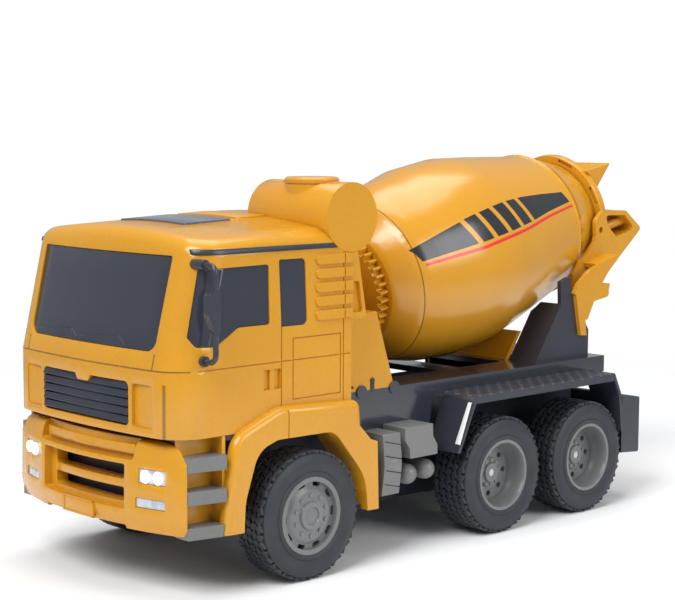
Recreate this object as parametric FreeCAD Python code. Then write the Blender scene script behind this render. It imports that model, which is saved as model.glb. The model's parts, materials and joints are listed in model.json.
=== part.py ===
"""Toy cement mixer truck on six wheels, as separate pieces.

Modelling frame: +X to the truck's left, +Y to the rear, +Z up. While modelling, y is the
distance behind the bumper's foremost point and z the height above the ground. On export each
piece is moved forward by half the truck's length, which puts the origin under the middle.
All sizes are millimetres.
"""
import FreeCAD, Part
import math
import os

# ---- general sizes ---------------------------------------------------------------------------
WALL = 2.0                  # moulded wall of the cab, covers and brackets
THIN_WALL = 1.5             # lighter mouldings
RUN_FIT = 0.08              # radial clearance of a shaft in its bore
SLIP_GAP = 0.3              # clearance between pieces that move past each other
SEAT_GAP = 0.1              # clearance round an insert in its opening
TURN_GAP = 1.0              # free space round the turning drum
REACH = 400.0               # longer than the truck, for cutting blocks

# ---- wheels ----------------------------------------------------------------------------------
TYRE_R = 23.5
TYRE_SHOULDER = 3.0         # rounding of the tread's edge
TYRE_SIDE_X = 55.7          # outer sidewall from the centre plane
FRONT_TYRE_W = 16.0
REAR_TYRE_W = 18.5
BEAD_R = 13.6               # rim barrel, and the tyre's inside
RIM_LIP_R = 14.6            # bead flange on the outer side
RIM_WALL = 1.2
HUB_R = 4.4
FRONT_DISC_T = 2.0
REAR_DISH_DEPTH = 8.0       # how far the rear disc lies inside the lip
REAR_DISC_T = 2.0
GROOVE_COUNT = 4
GROOVE_W = 1.2              # main tread grooves
GROOVE_DEPTH = 1.3
WINDOW_COUNT = 10           # windows of the front rim
HAND_HOLE_COUNT = 8         # holes of the rear rim
HAND_HOLE_R = 1.15
NUT_COUNT = 10
SHAFT_R = 1.5               # steel axle
FRONT_AXLE_Y = 61.9
REAR_AXLE_Y = 166.0
REAR_AXLE_STEP = 54.1
HOUSING_R = 5.2             # tube round each rear axle
HOUSING_END_GAP = 2.0       # from the tube's end to the tyre's inner side
JOURNAL_L = 5.0             # length of the close bore at each end of the tube
HOUSING_ROOM = 1.0          # wider bore between the journals

# ---- steering --------------------------------------------------------------------------------
KINGPIN_X = 36.5
KINGPIN_R = 1.2
KNUCKLE_W = 6.0
KNUCKLE_H = 9.6
STUB_R = 2.0
EAR_T = 2.6
BEAM_HALF = 4.0
BEAM_H = 3.0
KNUCKLE_SWING = 1.0         # room beside the knuckle for its corners to turn in
BEAM_WALL = 2.8             # wall that carries each pair of ears
ARM_LENGTH = 12.0           # kingpin to tie-rod pin
ARM_T = 2.2
ARM_PIN_R = 1.3
TIE_ROD_T = 2.2
TIE_SLOT_PLAY = 0.9         # the pins swing fore and aft by this much in the tie rod
SERVO_W = 15.0
SERVO_L = 17.0
SERVO_H = 13.0
HORN_SHAFT_R = 2.0

# ---- chassis ---------------------------------------------------------------------------------
TUB_HALF = 22.0
TUB_FRONT_Y = 14.0
TUB_REAR_Y = 250.0
TUB_BOTTOM = 13.0
TUB_TOP = 54.5
NOSE_BOTTOM = 22.5          # the tub is shallower below the cab's front
NOSE_END_Y = 50.0
CARRIER_HALF = 42.8         # cross plate behind the bumper
CARRIER_Z = (25.0, 52.0)
CARRIER_RIB_X = 27.5
DECK_HALF = 40.0
DECK_SKIRT = 55.4           # lower edge of the deck's side band
DECK_BAND = 7.1             # height of that band
DECK_TOP = DECK_SKIRT + DECK_BAND
DECK_FRONT_Y = 92.0
DECK_REAR_Y = 250.0
DECK_PLATE_T = 2.5
SIDE_PANEL_Y = 92.4         # deeper panel ahead of the rear wheels
SIDE_PANEL_END_Y = 138.0
SIDE_PANEL_Z = 40.0
OPENING_HALF = 22.5
OPENINGS_Y = ((133.0, 163.0), (175.0, 202.0))
LATCHES_Y = (101.0, 118.6)
LATCH_R = 2.6
LATCH_W = 6.0

# ---- cab -------------------------------------------------------------------------------------
CAB_HALF = 50.3
CAB_BOTTOM = 56.5
CAB_FRONT_Y = 2.4
CAB_BELT_Z = 79.4           # where the screen starts to lean back
CAB_REAR_Y = 85.8
CAB_ROOF_Z = 129.6
CAB_CROWN_R = 350.0         # bow of the front across the truck
ROOF_CAMBER_R = 300.0       # bow of the roof across the truck
ROOF_SLOPE = 2.4            # degrees, the roof climbs to the rear
CORNER_ROUND = 13.0         # rounding of the front's upright corners
CAB_ROUND = 6.5             # rounding of the brow and of the roof's sides
SCREEN_LEAN = 13.0          # degrees
COLUMN_Z = 92.1             # underside of the rear corner columns
COLUMN_TOP_Z = 116.7
COLUMN_W = 8.0
COLUMN_FOOT_D = 7.7         # how far the column's foot stands behind the rear wall
COLUMN_HEAD_D = 3.1
GLASS_FLANGE = 2.0
GLASS_T = 1.4
GLASS_RECESS = 0.5
GRILLE_RECESS = 1.6
LOUVRE_COUNT = 5
SEAM_W = 0.45
SEAM_DEPTH = 0.5
RIB_COUNT = 5
RIB_PITCH = 5.0
RIB_TOP_Z = 114.6
RIB_H = 3.5
RIB_FRONT_Y = 67.9
RIB_PROUD = 0.8
TRIM_Z = 119.4
TRIM_H = 1.8
TRIM_FRONT_Y = 15.8
TRIM_REAR_Y = 84.4
TRIM_DEPTH = 1.2
SEAT_PROUD = 0.4            # drip strips beyond the cab's skin
HATCH_T = 1.2               # the roof hatch's seat in the roof
HATCH_PROUD = 0.6

# ---- bumper, lamps, steps and fenders --------------------------------------------------------
BUMPER_HALF = CAB_HALF - 0.4
BUMPER_BOTTOM = 22.9
BUMPER_TOP = 54.6
BUMPER_DEPTH = 9.7
BUMPER_CROWN_R = 144.0
BUMPER_ROUND = 3.6
POCKET_HALF = 28.0          # upper pocket with the lip
POCKET_Z = 47.6
POCKET_DEPTH = 4.6
RECESS_HALF = 24.5          # lower recess with the air slots
RECESS_Z = (30.2, 45.9)
RECESS_DEPTH = 3.4
SLOT_HALF = 20.5
SLOTS_Z = ((31.9, 36.8), (39.6, 45.0))
LIP_HALF = 26.5
LIP_Z = (49.2, 52.3)
LIP_STAND_OFF = 2.6         # the lip's face behind the bumper's face
SKIRT_HALF = 24.0           # raised middle of the lower edge
SKIRT_RISE = 1.5
PLATE_HALF = 9.0
PLATE_Z = (25.3, 29.7)
PLATE_DEPTH = 0.4
LAMP_X = (30.6, 42.0)
LAMP_Z = (40.0, 45.3)
FOG_X = (29.5, 42.0)
FOG_Z = (31.5, 35.0)
LAMP_RECESS = 0.3
LAMP_DEPTH = 9.0            # rear face of the lamp blocks
STEP_TOPS = (50.4, 38.9, 26.4)
STEP_HEIGHTS = (5.0, 4.7, 4.2)
STEP_INNER_X = CAB_HALF - 5.8
STEP_REAR_X = CAB_HALF + 3.1  # outer edge of the treads at their rear end
STEP_REAR_Y = 24.6
STEP_BASE_Z = 22.2
FENDER_X = CAB_HALF + 3.7   # outer face of the front fenders
FENDER_ROUND = 2.6
LINER_X = 41.0              # inner edge of the wheel arch liner
LINER_T = 1.5

# ---- drum ------------------------------------------------------------------------------------
DRUM_TILT = 11.03           # degrees, rising to the rear
DRUM_Y = 173.0              # a point on the drum's axis
DRUM_Z = 104.55
DRUM_WALL = 2.0
# stations along the axis and the radius there
DRUM_FRONT = (-40.2, 23.6)
DRUM_SHOULDER = (-31.4, 33.1)
DRUM_BULGE = (-18.0, 37.6)
DRUM_BELLY = (0.0, 20.0, 40.8)
DRUM_REAR_CONE = (38.0, 37.7)
DRUM_RIDGE = (70.0, 31.5)
DRUM_MOUTH = (90.5, 24.1)
SHELL_JOINT_L = 4.0         # overlap of the drum's two shells
RIDGE_H = 0.8
MOUTH_NECK_L = 3.6
BLADE_H = 8.0               # mixing blades inside the drum
GEAR_MODULE = 1.05
RING_TEETH = 40
PINION_TEETH = 10
GEAR_W = 4.5
GEAR_BACKLASH = 0.12
JOURNAL_R = 4.0             # front journal of the drum
JOURNAL_S = -62.0           # its front end
BEARING_L = 8.0
BEARING_WALL = 3.5
PINION_SHAFT_R = 1.5
GEARBOX_L = 12.0
GEARBOX_GAP = 1.6           # from the gearbox to the gears
GEARBOX_HALF = 9.0
GEARBOX_H = (4.8, 16.5)     # below and above the pinion's axis
DRUM_MOTOR_UP = 8.3         # motor's axis above the pinion's
DRUM_MOTOR_L = 20.0
COLLAR_R = 27.4
COLLAR_L = 3.6
COLLAR_START = 91.0
COLLAR_SLOTS = 8
HOPPER_HALF = 21.0

# ---- drum supports ---------------------------------------------------------------------------
PEDESTAL_HALF = 39.8
PEDESTAL_FRONT_Y = 91.5
PEDESTAL_REAR_Y = 118.8     # at the deck
PEDESTAL_TOP_Y = 109.0
PEDESTAL_FRONT_Z = 91.0
PEDESTAL_TOP_Z = 92.4
PEDESTAL_GATE_HALF = 17.0   # gate in the rear wall for the drum's motor
PEDESTAL_GATE_Z = 84.5
REAR_POST_HALF = 36.0
POST_FRONT_Y = 207.8        # front end of the posts' feet
POST_REAR_Y = 243.6
POST_SHOULDER_H = 11.5      # height of the posts' rear edge over the deck
POST_FLANGE_X = 21.5
POST_WEB_X = 26.0
POST_WEB_T = 2.0
CRADLE_H = 11.7             # height of the cradle's slanted plate
CHEEK_T = 1.8
CRADLE_HALF = 20.9
ARM_OUTER_X = 29.5
ARM_INNER_X = 14.0
ARM_TAIL_Y = 288.5          # rearmost point of the bracket arms
TAIL_ROUND_OFF = 0.6        # what the rounding takes off the rearmost corner
ARM_HOLE_R = 1.4
LOOP_BAR_X = 24.0
LOOP_BAR_R = 2.0
CHUTE_PIVOT = (275.0, 109.6)
CHUTE_PIN_R = 1.2
CHUTE_PIN_L = 3.0
CHUTE_L = 12.0
CHUTE_H = 6.8
CHUTE_LIFT = 23.0           # degrees, the chute's slope when folded up

# ---- water tank ------------------------------------------------------------------------------
TANK_R = 12.7
TANK_Y = 85.9
TANK_Z = 129.1
TANK_INNER_X = 6.8
TANK_CAP_R = 10.2
TANK_CAP_TOP = 143.2
TANK_CAP_H = 2.2
TANK_NECK_STEP = 0.8        # the cap is this much narrower at the top

# ---- rear mudguards and tail -----------------------------------------------------------------
GUARD_TOP = 57.6
GUARD_T = 1.6
GUARD_EDGE_H = 3.4
GUARD_EDGE_T = 1.2
GUARD_FRONT_Y = 148.5
GUARD_REAR_Y = 237.2
GUARD_FOOT = (138.2, 35.9)
GUARD_TAIL = (244.0, 31.8)
TAIL_HALF = 50.0
TAIL_FRONT_Y = 250.4
TAIL_REAR_Y = 262.9
TAIL_BOTTOM = 19.5
TAIL_TOP = 46.6
TAIL_LAMP_X = (30.0, 46.0)
TAIL_LAMP_Z = (35.0, 41.0)
TAIL_LAMP_T = 1.2

# ---- side equipment --------------------------------------------------------------------------
SIDE_BOX_X = 53.0           # outer face of the boxes behind the cab
STEP_BOX_Y = (100.9, 110.1)
STEP_BOX_Z = (23.8, 47.3)
WAVE_BOX_Y = (112.8, 130.6)
WAVE_BOX_Z = (36.4, 48.6)
WAVE_BOX_X = 52.0
AIR_TANK_R = 3.9
AIR_TANK_X = 51.5
AIR_TANKS = ((118.2, 29.6), (128.2, 30.2))

# ---- mirrors ---------------------------------------------------------------------------------
MIRROR_Y = 16.7
MIRROR_MOUNTS_Z = (115.5, 82.9)
MIRROR_OUT_X = CAB_HALF + 6.5
MIRROR_FACE = 1.3           # outer face of the mirror body beyond the tube's middle
MIRROR_TUBE_R = 1.0
MIRROR_BEND = 3.0
MIRROR_PAD_R = 1.8
PAD_REACH = 5.0             # how far the pads and pegs start inside the cab's side
MIRROR_PEG_R = 0.8
MIRROR_BODY_Z = (91.3, 107.5)
MIRROR_BODY_W = 2.9

# ---- motors, battery, electronics ------------------------------------------------------------
MOTOR_R = 10.0
MOTOR_FLAT = 7.6
MOTOR_L = 25.0
MOTOR_SHAFT_R = 1.0
MOTOR_BOSS_R = 3.0
MOTOR_BOSS_L = 0.8
DRIVE_MODULE = 0.6
AXLE_GEAR_TEETH = 36
MOTOR_PINION_TEETH = 12
DRIVE_GEAR_W = 4.0
DRIVE_ANGLE = 60.0          # degrees from level, from the axle up to the motor
GEAR_X = 10.0               # middle of the drive gears
GEAR_ROOM = 1.0             # free space beside the drive gears
CASE_WALL = 1.6             # gear case below the floor
BATTERY_Y = 100.0
BATTERY_L = 50.0
WRAP_BEND = 0.9             # bend of the wrap as a share of the cell's radius
BATTERY_CELL_R = 7.5
DOOR_MARGIN = 1.0
SWITCH_Y = 90.0
SWITCH_W = 5.0
SWITCH_H = 5.0
SWITCH_TRAVEL = 1.5
KNOB_L = 3.0
SWITCH_L = KNOB_L + 2 * SWITCH_TRAVEL + 2.0   # opening in the floor, with room at both ends
KNOB_W = 2.8
BOARD_HALF = 18.0
BOARD_Y = (20.0, 50.0)
BOARD_Z = 6.0               # height of the board above the floor
BOARD_T = 1.6
LED_R = 1.5

# ---- places worked out from the sizes --------------------------------------------------------
AXLE_Z = TYRE_R
REAR_AXLES_Y = (REAR_AXLE_Y, REAR_AXLE_Y + REAR_AXLE_STEP)
TILT = math.radians(DRUM_TILT)
LENGTH = ARM_TAIL_Y
SIDE_SHIFT = (MIRROR_OUT_X + MIRROR_FACE - TYRE_SIDE_X) / 2    # the one mirror reaches past the tyres
FLOOR_TOP = TUB_BOTTOM + WALL
DRUM_SPLIT = DRUM_SHOULDER[0]                                # joint of the drum's two shells
PINION_DROP = GEAR_MODULE * (RING_TEETH + PINION_TEETH) / 2  # from the drum's axis to the pinion's
GEARBOX_S = DRUM_FRONT[0] - GEAR_W - GEARBOX_GAP             # rear face of the gearbox
HOUSING_END_X = TYRE_SIDE_X - REAR_TYRE_W - HOUSING_END_GAP
SHAFT_END_X = TYRE_SIDE_X - REAR_DISH_DEPTH + 1.2
STUB_SHOULDER_X = KINGPIN_X + KNUCKLE_W / 2
STUB_END_X = TYRE_SIDE_X - 3.6
EAR_GAP = KNUCKLE_H / 2 + SLIP_GAP - SEAT_GAP
TIE_Z = AXLE_Z + ARM_T / 2 + SLIP_GAP
HORN_Z = TIE_Z + TIE_ROD_T + SLIP_GAP
DRIVE_CENTRES = DRIVE_MODULE * (AXLE_GEAR_TEETH + MOTOR_PINION_TEETH) / 2
MOTOR_Y = REAR_AXLE_Y + DRIVE_CENTRES * math.cos(math.radians(DRIVE_ANGLE))
MOTOR_Z = AXLE_Z + DRIVE_CENTRES * math.sin(math.radians(DRIVE_ANGLE))
MOTOR_FACE_X = GEAR_X - DRIVE_GEAR_W / 2 - GEAR_ROOM - MOTOR_BOSS_L
CAP_X = (TANK_INNER_X + CAB_HALF) / 2


# ---- helpers ---------------------------------------------------------------------------------
def vec(x, y, z):
    return FreeCAD.Vector(x, y, z)


def box(x_span, y_span, z_span):
    """Block between three pairs of coordinates."""
    size = [abs(span[1] - span[0]) for span in (x_span, y_span, z_span)]
    low = [min(span) for span in (x_span, y_span, z_span)]
    return Part.makeBox(size[0], size[1], size[2], vec(*low))


def rod(start, direction, radius, length):
    """Cylinder from a start point along a direction."""
    return Part.makeCylinder(radius, length, start, direction)


def place(axis, a, b):
    """Point of a 2-D outline in the plane square to an axis."""
    if axis == "x":
        return vec(0, a, b)
    if axis == "y":
        return vec(a, 0, b)
    return vec(a, b, 0)


def rounded_wire(corners, axis):
    """Closed wire through corners (a, b) or (a, b, radius), drawn square to an axis."""
    runs = []
    count = len(corners)
    for i, corner in enumerate(corners):
        here = place(axis, corner[0], corner[1])
        if len(corner) == 2:
            runs.append((here, None, here))
            continue
        before = place(axis, *corners[i - 1][:2]) - here
        after = place(axis, *corners[(i + 1) % count][:2]) - here
        before.normalize()
        after.normalize()
        half_angle = before.getAngle(after) / 2
        reach = corner[2] / math.tan(half_angle)
        middle = before + after
        middle.normalize()
        crown = here + middle * (corner[2] / math.sin(half_angle) - corner[2])
        runs.append((here + before * reach, crown, here + after * reach))
    edges = []
    for i, (start, crown, end) in enumerate(runs):
        if crown is not None:
            edges.append(Part.Arc(start, crown, end).toShape())
        following = runs[(i + 1) % count][0]
        if (following - end).Length > 1e-6:
            edges.append(Part.LineSegment(end, following).toShape())
    return Part.Wire(edges)


def slab(corners, axis, low, high):
    """Outline extruded along its axis from low to high."""
    along = {"x": vec(1, 0, 0), "y": vec(0, 1, 0), "z": vec(0, 0, 1)}[axis]
    face = Part.Face(rounded_wire(corners, axis))
    face.translate(along * low)
    return face.extrude(along * (high - low))


def turned(profile, origin, direction, radial):
    """Solid of revolution: profile holds (station along the axis, radius) corners."""
    points = [origin + direction * s + radial * r for s, r in profile]
    wire = Part.makePolygon(points + [points[0]])
    return Part.Face(wire).revolve(origin, direction, 360)


def turned_x(profile, y, z):
    """Solid of revolution about a line along X; stations are x coordinates."""
    return turned(profile, vec(0, y, z), vec(1, 0, 0), vec(0, 0, 1))


def shifted(shape, x, y, z):
    """Copy of a shape moved by a step."""
    copy = shape.copy()
    copy.translate(vec(x, y, z))
    return copy


def mirrored(shape):
    """The same piece on the truck's right."""
    return shape.mirror(vec(0, 0, 0), vec(1, 0, 0))


def group(shapes):
    return Part.makeCompound(shapes)


def polar(centre, radius, angle, axis_a, axis_b):
    return centre + axis_a * (radius * math.cos(angle)) + axis_b * (radius * math.sin(angle))


def gear_outline(teeth, module, backlash):
    """Half-tooth list of (radius, angle) points for an involute spur gear, 20 degree pressure."""
    pressure = math.radians(20)
    pitch_r = module * teeth / 2
    base_r = pitch_r * math.cos(pressure)
    tip_r = pitch_r + 0.9 * module
    root_r = pitch_r - 1.2 * module
    half_tooth = math.pi / (2 * teeth) - backlash / (2 * pitch_r)
    involute_at_pitch = math.tan(pressure) - pressure
    flank = [(root_r, None)]
    start_r = max(base_r, root_r)
    steps = 5
    for i in range(steps + 1):
        radius = start_r + (tip_r - start_r) * i / steps
        roll = math.acos(min(1.0, base_r / radius))
        flank.append((radius, half_tooth + involute_at_pitch - (math.tan(roll) - roll)))
    flank[0] = (root_r, flank[1][1])
    return flank


def spur_gear(teeth, module, width, backlash, centre, axis, up):
    """Spur gear whose tooth number 0 is centred on the direction up."""
    side = axis.cross(up)
    flank = gear_outline(teeth, module, backlash)
    points = []
    for tooth in range(teeth):
        middle = 2 * math.pi * tooth / teeth
        for radius, angle in flank:
            points.append(polar(centre, radius, middle - angle, up, side))
        for radius, angle in reversed(flank):
            points.append(polar(centre, radius, middle + angle, up, side))
    face = Part.Face(Part.makePolygon(points + [points[0]]))
    return face.extrude(axis * width)


# ---- drum frame ------------------------------------------------------------------------------
DRUM_AXIS = vec(0, math.cos(TILT), math.sin(TILT))
DRUM_UP = vec(0, -math.sin(TILT), math.cos(TILT))
DRUM_ORIGIN = vec(0, DRUM_Y, DRUM_Z)


def drum_point(station, height=0.0):
    """Point on the drum's axis, or above it square to the axis."""
    return DRUM_ORIGIN + DRUM_AXIS * station + DRUM_UP * height


def drum_turned(profile):
    return turned(profile, DRUM_ORIGIN, DRUM_AXIS, DRUM_UP)


def drum_profile(offset):
    """Outer line of the drum moved outwards by an offset."""
    belly_start, belly_end, belly_r = DRUM_BELLY
    stations = [DRUM_FRONT, DRUM_SHOULDER, DRUM_BULGE, (belly_start, belly_r), (belly_end, belly_r),
                DRUM_REAR_CONE, DRUM_RIDGE, DRUM_MOUTH]
    return [(s, r + offset) for s, r in stations]


def radius_at(station, offset=0.0):
    """Outer radius of the drum at a station."""
    profile = drum_profile(offset)
    for (s0, r0), (s1, r1) in zip(profile, profile[1:]):
        if s0 <= station <= s1:
            return r0 + (r1 - r0) * (station - s0) / (s1 - s0)
    return profile[-1][1]


def drum_shell(start, end):
    """Wall of the drum between two stations."""
    outer = [(s, r) for s, r in drum_profile(0) if start < s < end]
    outer = [(start, radius_at(start))] + outer + [(end, radius_at(end))]
    inner = [(s, r - DRUM_WALL) for s, r in reversed(outer)]
    return drum_turned(outer + inner)


def drum_keep_out(gap):
    """Space that the turning drum needs, with a gap all round."""
    profile = drum_profile(gap)
    first, last = profile[0], profile[-1]
    return drum_turned([(first[0] - gap, 0)] + [(first[0] - gap, first[1])] + profile[1:]
                       + [(last[0] + gap, last[1]), (last[0] + gap, 0)])


def drum_front():
    """Front shell: flange disc, rounded shoulder and the journal that turns in the pedestal."""
    start, flange_r = DRUM_FRONT
    shell = drum_shell(start, DRUM_SPLIT)
    disc = drum_turned([(start, 0), (start, flange_r), (start + DRUM_WALL, flange_r),
                        (start + DRUM_WALL, 0)])
    journal = rod(drum_point(JOURNAL_S), DRUM_AXIS, JOURNAL_R, start - JOURNAL_S + DRUM_WALL / 2)
    return shell.fuse([disc, journal]).removeSplitter()


def mixing_blade(turn):
    """Flat blade along the inside of the rear shell."""
    start, end = DRUM_BELLY[0], DRUM_REAR_CONE[0]
    outline = [(start, radius_at(start) - DRUM_WALL + SEAT_GAP),
               (DRUM_BELLY[1], DRUM_BELLY[2] - DRUM_WALL + SEAT_GAP),
               (end, radius_at(end) - DRUM_WALL + SEAT_GAP), (end, radius_at(end) - BLADE_H),
               (start, radius_at(start) - BLADE_H)]
    points = [drum_point(s, r) for s, r in outline]
    blade = Part.Face(Part.makePolygon(points + [points[0]])).extrude(vec(THIN_WALL, 0, 0))
    blade.rotate(DRUM_ORIGIN, DRUM_AXIS, turn)
    return blade


def drum_rear():
    """Rear shell: belly, cones, the ridge ring, mixing blades and the neck that turns in the collar."""
    mouth_s, mouth_r = DRUM_MOUTH
    ridge_s, ridge_r = DRUM_RIDGE
    shell = drum_shell(DRUM_SPLIT, mouth_s)
    ridge = drum_turned([(ridge_s - 1.5, radius_at(ridge_s - 1.5) - 1), (ridge_s, ridge_r + RIDGE_H),
                         (ridge_s + 1.5, radius_at(ridge_s + 1.5) - 1)])
    neck_end = mouth_s + MOUTH_NECK_L
    neck = drum_turned([(mouth_s - 1, mouth_r - DRUM_WALL), (mouth_s - 1, mouth_r - RUN_FIT),
                        (neck_end, mouth_r - RUN_FIT), (neck_end, mouth_r - DRUM_WALL)])
    first = DRUM_SPLIT - SHELL_JOINT_L
    last = DRUM_SPLIT + DRUM_WALL
    inside = -DRUM_WALL - SEAT_GAP
    spigot = drum_turned([(first, radius_at(first, inside)), (DRUM_SPLIT, radius_at(DRUM_SPLIT, inside)),
                          (DRUM_SPLIT, radius_at(DRUM_SPLIT, -DRUM_WALL / 2)),
                          (last, radius_at(last, -DRUM_WALL / 2)),
                          (last, radius_at(DRUM_SPLIT, inside - THIN_WALL)),
                          (first, radius_at(first, inside - THIN_WALL))])
    blades = [mixing_blade(120.0 * k) for k in range(3)]
    return shell.fuse([ridge, neck, spigot] + blades).removeSplitter()


def ring_gear():
    """Gear on the drum's front flange."""
    start = DRUM_FRONT[0] - GEAR_W
    gear = spur_gear(RING_TEETH, GEAR_MODULE, GEAR_W, GEAR_BACKLASH, drum_point(start), DRUM_AXIS, DRUM_UP)
    return gear.cut(rod(drum_point(start - 1), DRUM_AXIS, JOURNAL_R + SEAT_GAP, GEAR_W + 2))


def drum_pinion():
    """Small gear below the ring gear, in one piece with its shaft."""
    start = DRUM_FRONT[0] - GEAR_W
    gear = spur_gear(PINION_TEETH, GEAR_MODULE, GEAR_W, GEAR_BACKLASH, drum_point(start, -PINION_DROP),
                     DRUM_AXIS, DRUM_UP)
    gear.rotate(drum_point(start, -PINION_DROP), DRUM_AXIS, 180.0 / PINION_TEETH)
    shaft_start = GEARBOX_S - GEARBOX_L / 2
    shaft = rod(drum_point(shaft_start, -PINION_DROP), DRUM_AXIS, PINION_SHAFT_R, start - shaft_start + 1)
    return gear.fuse(shaft)


def drum_box(half, s_span, h_span):
    """Block in the drum's tilted frame, centred across the truck."""
    block = Part.makeBox(2 * half, s_span[1] - s_span[0], h_span[1] - h_span[0],
                         vec(-half, s_span[0], h_span[0]))
    block.rotate(vec(0, 0, 0), vec(1, 0, 0), DRUM_TILT)
    block.translate(DRUM_ORIGIN)
    return block


def drum_gearbox():
    """Case of the drum drive on its feet, with the bore for the pinion's shaft."""
    low, high = GEARBOX_H
    case = drum_box(GEARBOX_HALF, (GEARBOX_S - GEARBOX_L, GEARBOX_S),
                    (-PINION_DROP - low, -PINION_DROP + high))
    below = drum_point(GEARBOX_S - GEARBOX_L / 2, -PINION_DROP)
    feet = box((-GEARBOX_HALF, GEARBOX_HALF), (below.y - 4, below.y + 4), (DECK_TOP, below.z))
    room = rod(drum_point(GEARBOX_S + 2, -PINION_DROP), DRUM_AXIS * -1, PINION_SHAFT_R + RUN_FIT,
               GEARBOX_L / 2 + 3)
    return case.fuse(feet).cut(room).removeSplitter()


def motor_can(centre, axis, flat_up, length):
    """Small motor: can with two flats and a short shaft boss at the start, drawn along its axis."""
    can = rod(centre, axis, MOTOR_R, length)
    side = axis.cross(flat_up)
    corners = []
    for a, b in ((1, 1), (1, -1), (-1, -1), (-1, 1)):
        corners.append(centre - axis + side * (a * 2 * MOTOR_R) + flat_up * (b * MOTOR_FLAT))
    keep = Part.Face(Part.makePolygon(corners + [corners[0]])).extrude(axis * (length + 2))
    boss = rod(centre - axis * MOTOR_BOSS_L, axis, MOTOR_BOSS_R, MOTOR_BOSS_L + 1)
    return can.common(keep).fuse(boss).removeSplitter()


def drum_motor():
    """Motor in front of the drum's gearbox, inside the pedestal."""
    start = drum_point(GEARBOX_S - GEARBOX_L - MOTOR_BOSS_L, -PINION_DROP + DRUM_MOTOR_UP)
    return motor_can(start, DRUM_AXIS * -1, DRUM_UP, DRUM_MOTOR_L)


# ---- collar, hopper, bracket arms and chute --------------------------------------------------
def loading_hopper():
    """Fixed ring round the drum's mouth with slots in its face, and the scoop behind it."""
    start, back = COLLAR_START, COLLAR_START + COLLAR_L
    bore_r = DRUM_MOUTH[1]
    ring = drum_turned([(start, bore_r), (start, COLLAR_R), (back, COLLAR_R), (back, bore_r)])
    slots = []
    for k in range(COLLAR_SLOTS):
        cutter = box((-4, 4), (-1, 1.4), (bore_r + 1.0, COLLAR_R - 0.8))
        cutter.rotate(vec(0, 0, 0), vec(0, 1, 0), 360.0 * (k + 0.5) / COLLAR_SLOTS)
        cutter.rotate(vec(0, 0, 0), vec(1, 0, 0), DRUM_TILT)
        cutter.translate(drum_point(start))
        slots.append(cutter)
    tip = (276.0, 145.6)
    corner = (267.1, 135.1)
    low = drum_point(back, bore_r * 0.4)
    side = slab([(259.3, 142.4), tip, corner, (low.y, low.z),
                 (drum_point(back, 18).y, drum_point(back, 18).z)],
                "x", HOPPER_HALF - THIN_WALL, HOPPER_HALF)
    floor = slab([tip, (tip[0] - THIN_WALL, tip[1] + 0.3), (corner[0] - 1.2, corner[1] + 0.8),
                  (low.y, low.z + 2.0),
                  (low.y, low.z), corner], "x", -HOPPER_HALF, HOPPER_HALF)
    ahead = drum_turned([(0, 0), (0, bore_r + 0.5), (back, bore_r + 0.5), (back, 0)])
    scoop = floor.fuse([side, mirrored(side)]).cut(ahead)
    return ring.cut(slots).fuse(scoop).removeSplitter()


ARM_OUTLINE = [(261.0, 125.2, 1.5), (277.5, 124.7, 2.0), (ARM_TAIL_Y + TAIL_ROUND_OFF, 116.4, 1.2),
               (285.9, 113.7, 1.0),
               (271.8, 102.7), (259.6, 92.6, 3.0), (247.0, 90.8, 2.0), (241.6, 89.4), (240.2, 98.1),
               (243.4, 103.0, 2.0), (251.2, 107.2, 3.0), (255.2, 111.2, 1.5), (256.3, 114.1, 1.5),
               (255.7, 121.0, 3.0)]
ARM_WINDOW = [(263.3, 122.9, 1.0), (276.5, 122.8, 1.5), (284.3, 116.3, 1.2), (270.6, 113.2, 1.5),
              (264.2, 118.6, 1.0)]
CHEEK_OUTLINE = [(261.1, 106.1), (260.8, 103.6), (255.5, 99.8), (250.0, 93.5), (255.2, 92.5, 0.6),
                 (255.4, 88.0, 2.0), (245.0, 86.5, 1.0), (240.7, 78.9), (239.1, 78.6), (240.1, 71.9),
                 (236.1, 72.2), (232.4, 89.8), (231.1, 90.7), (233.6, 94.6), (240.8, 99.9, 12.0),
                 (248.0, 102.5)]
ARM_HOLES = ((259.7, 116.6), (249.8, 101.2))


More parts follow.
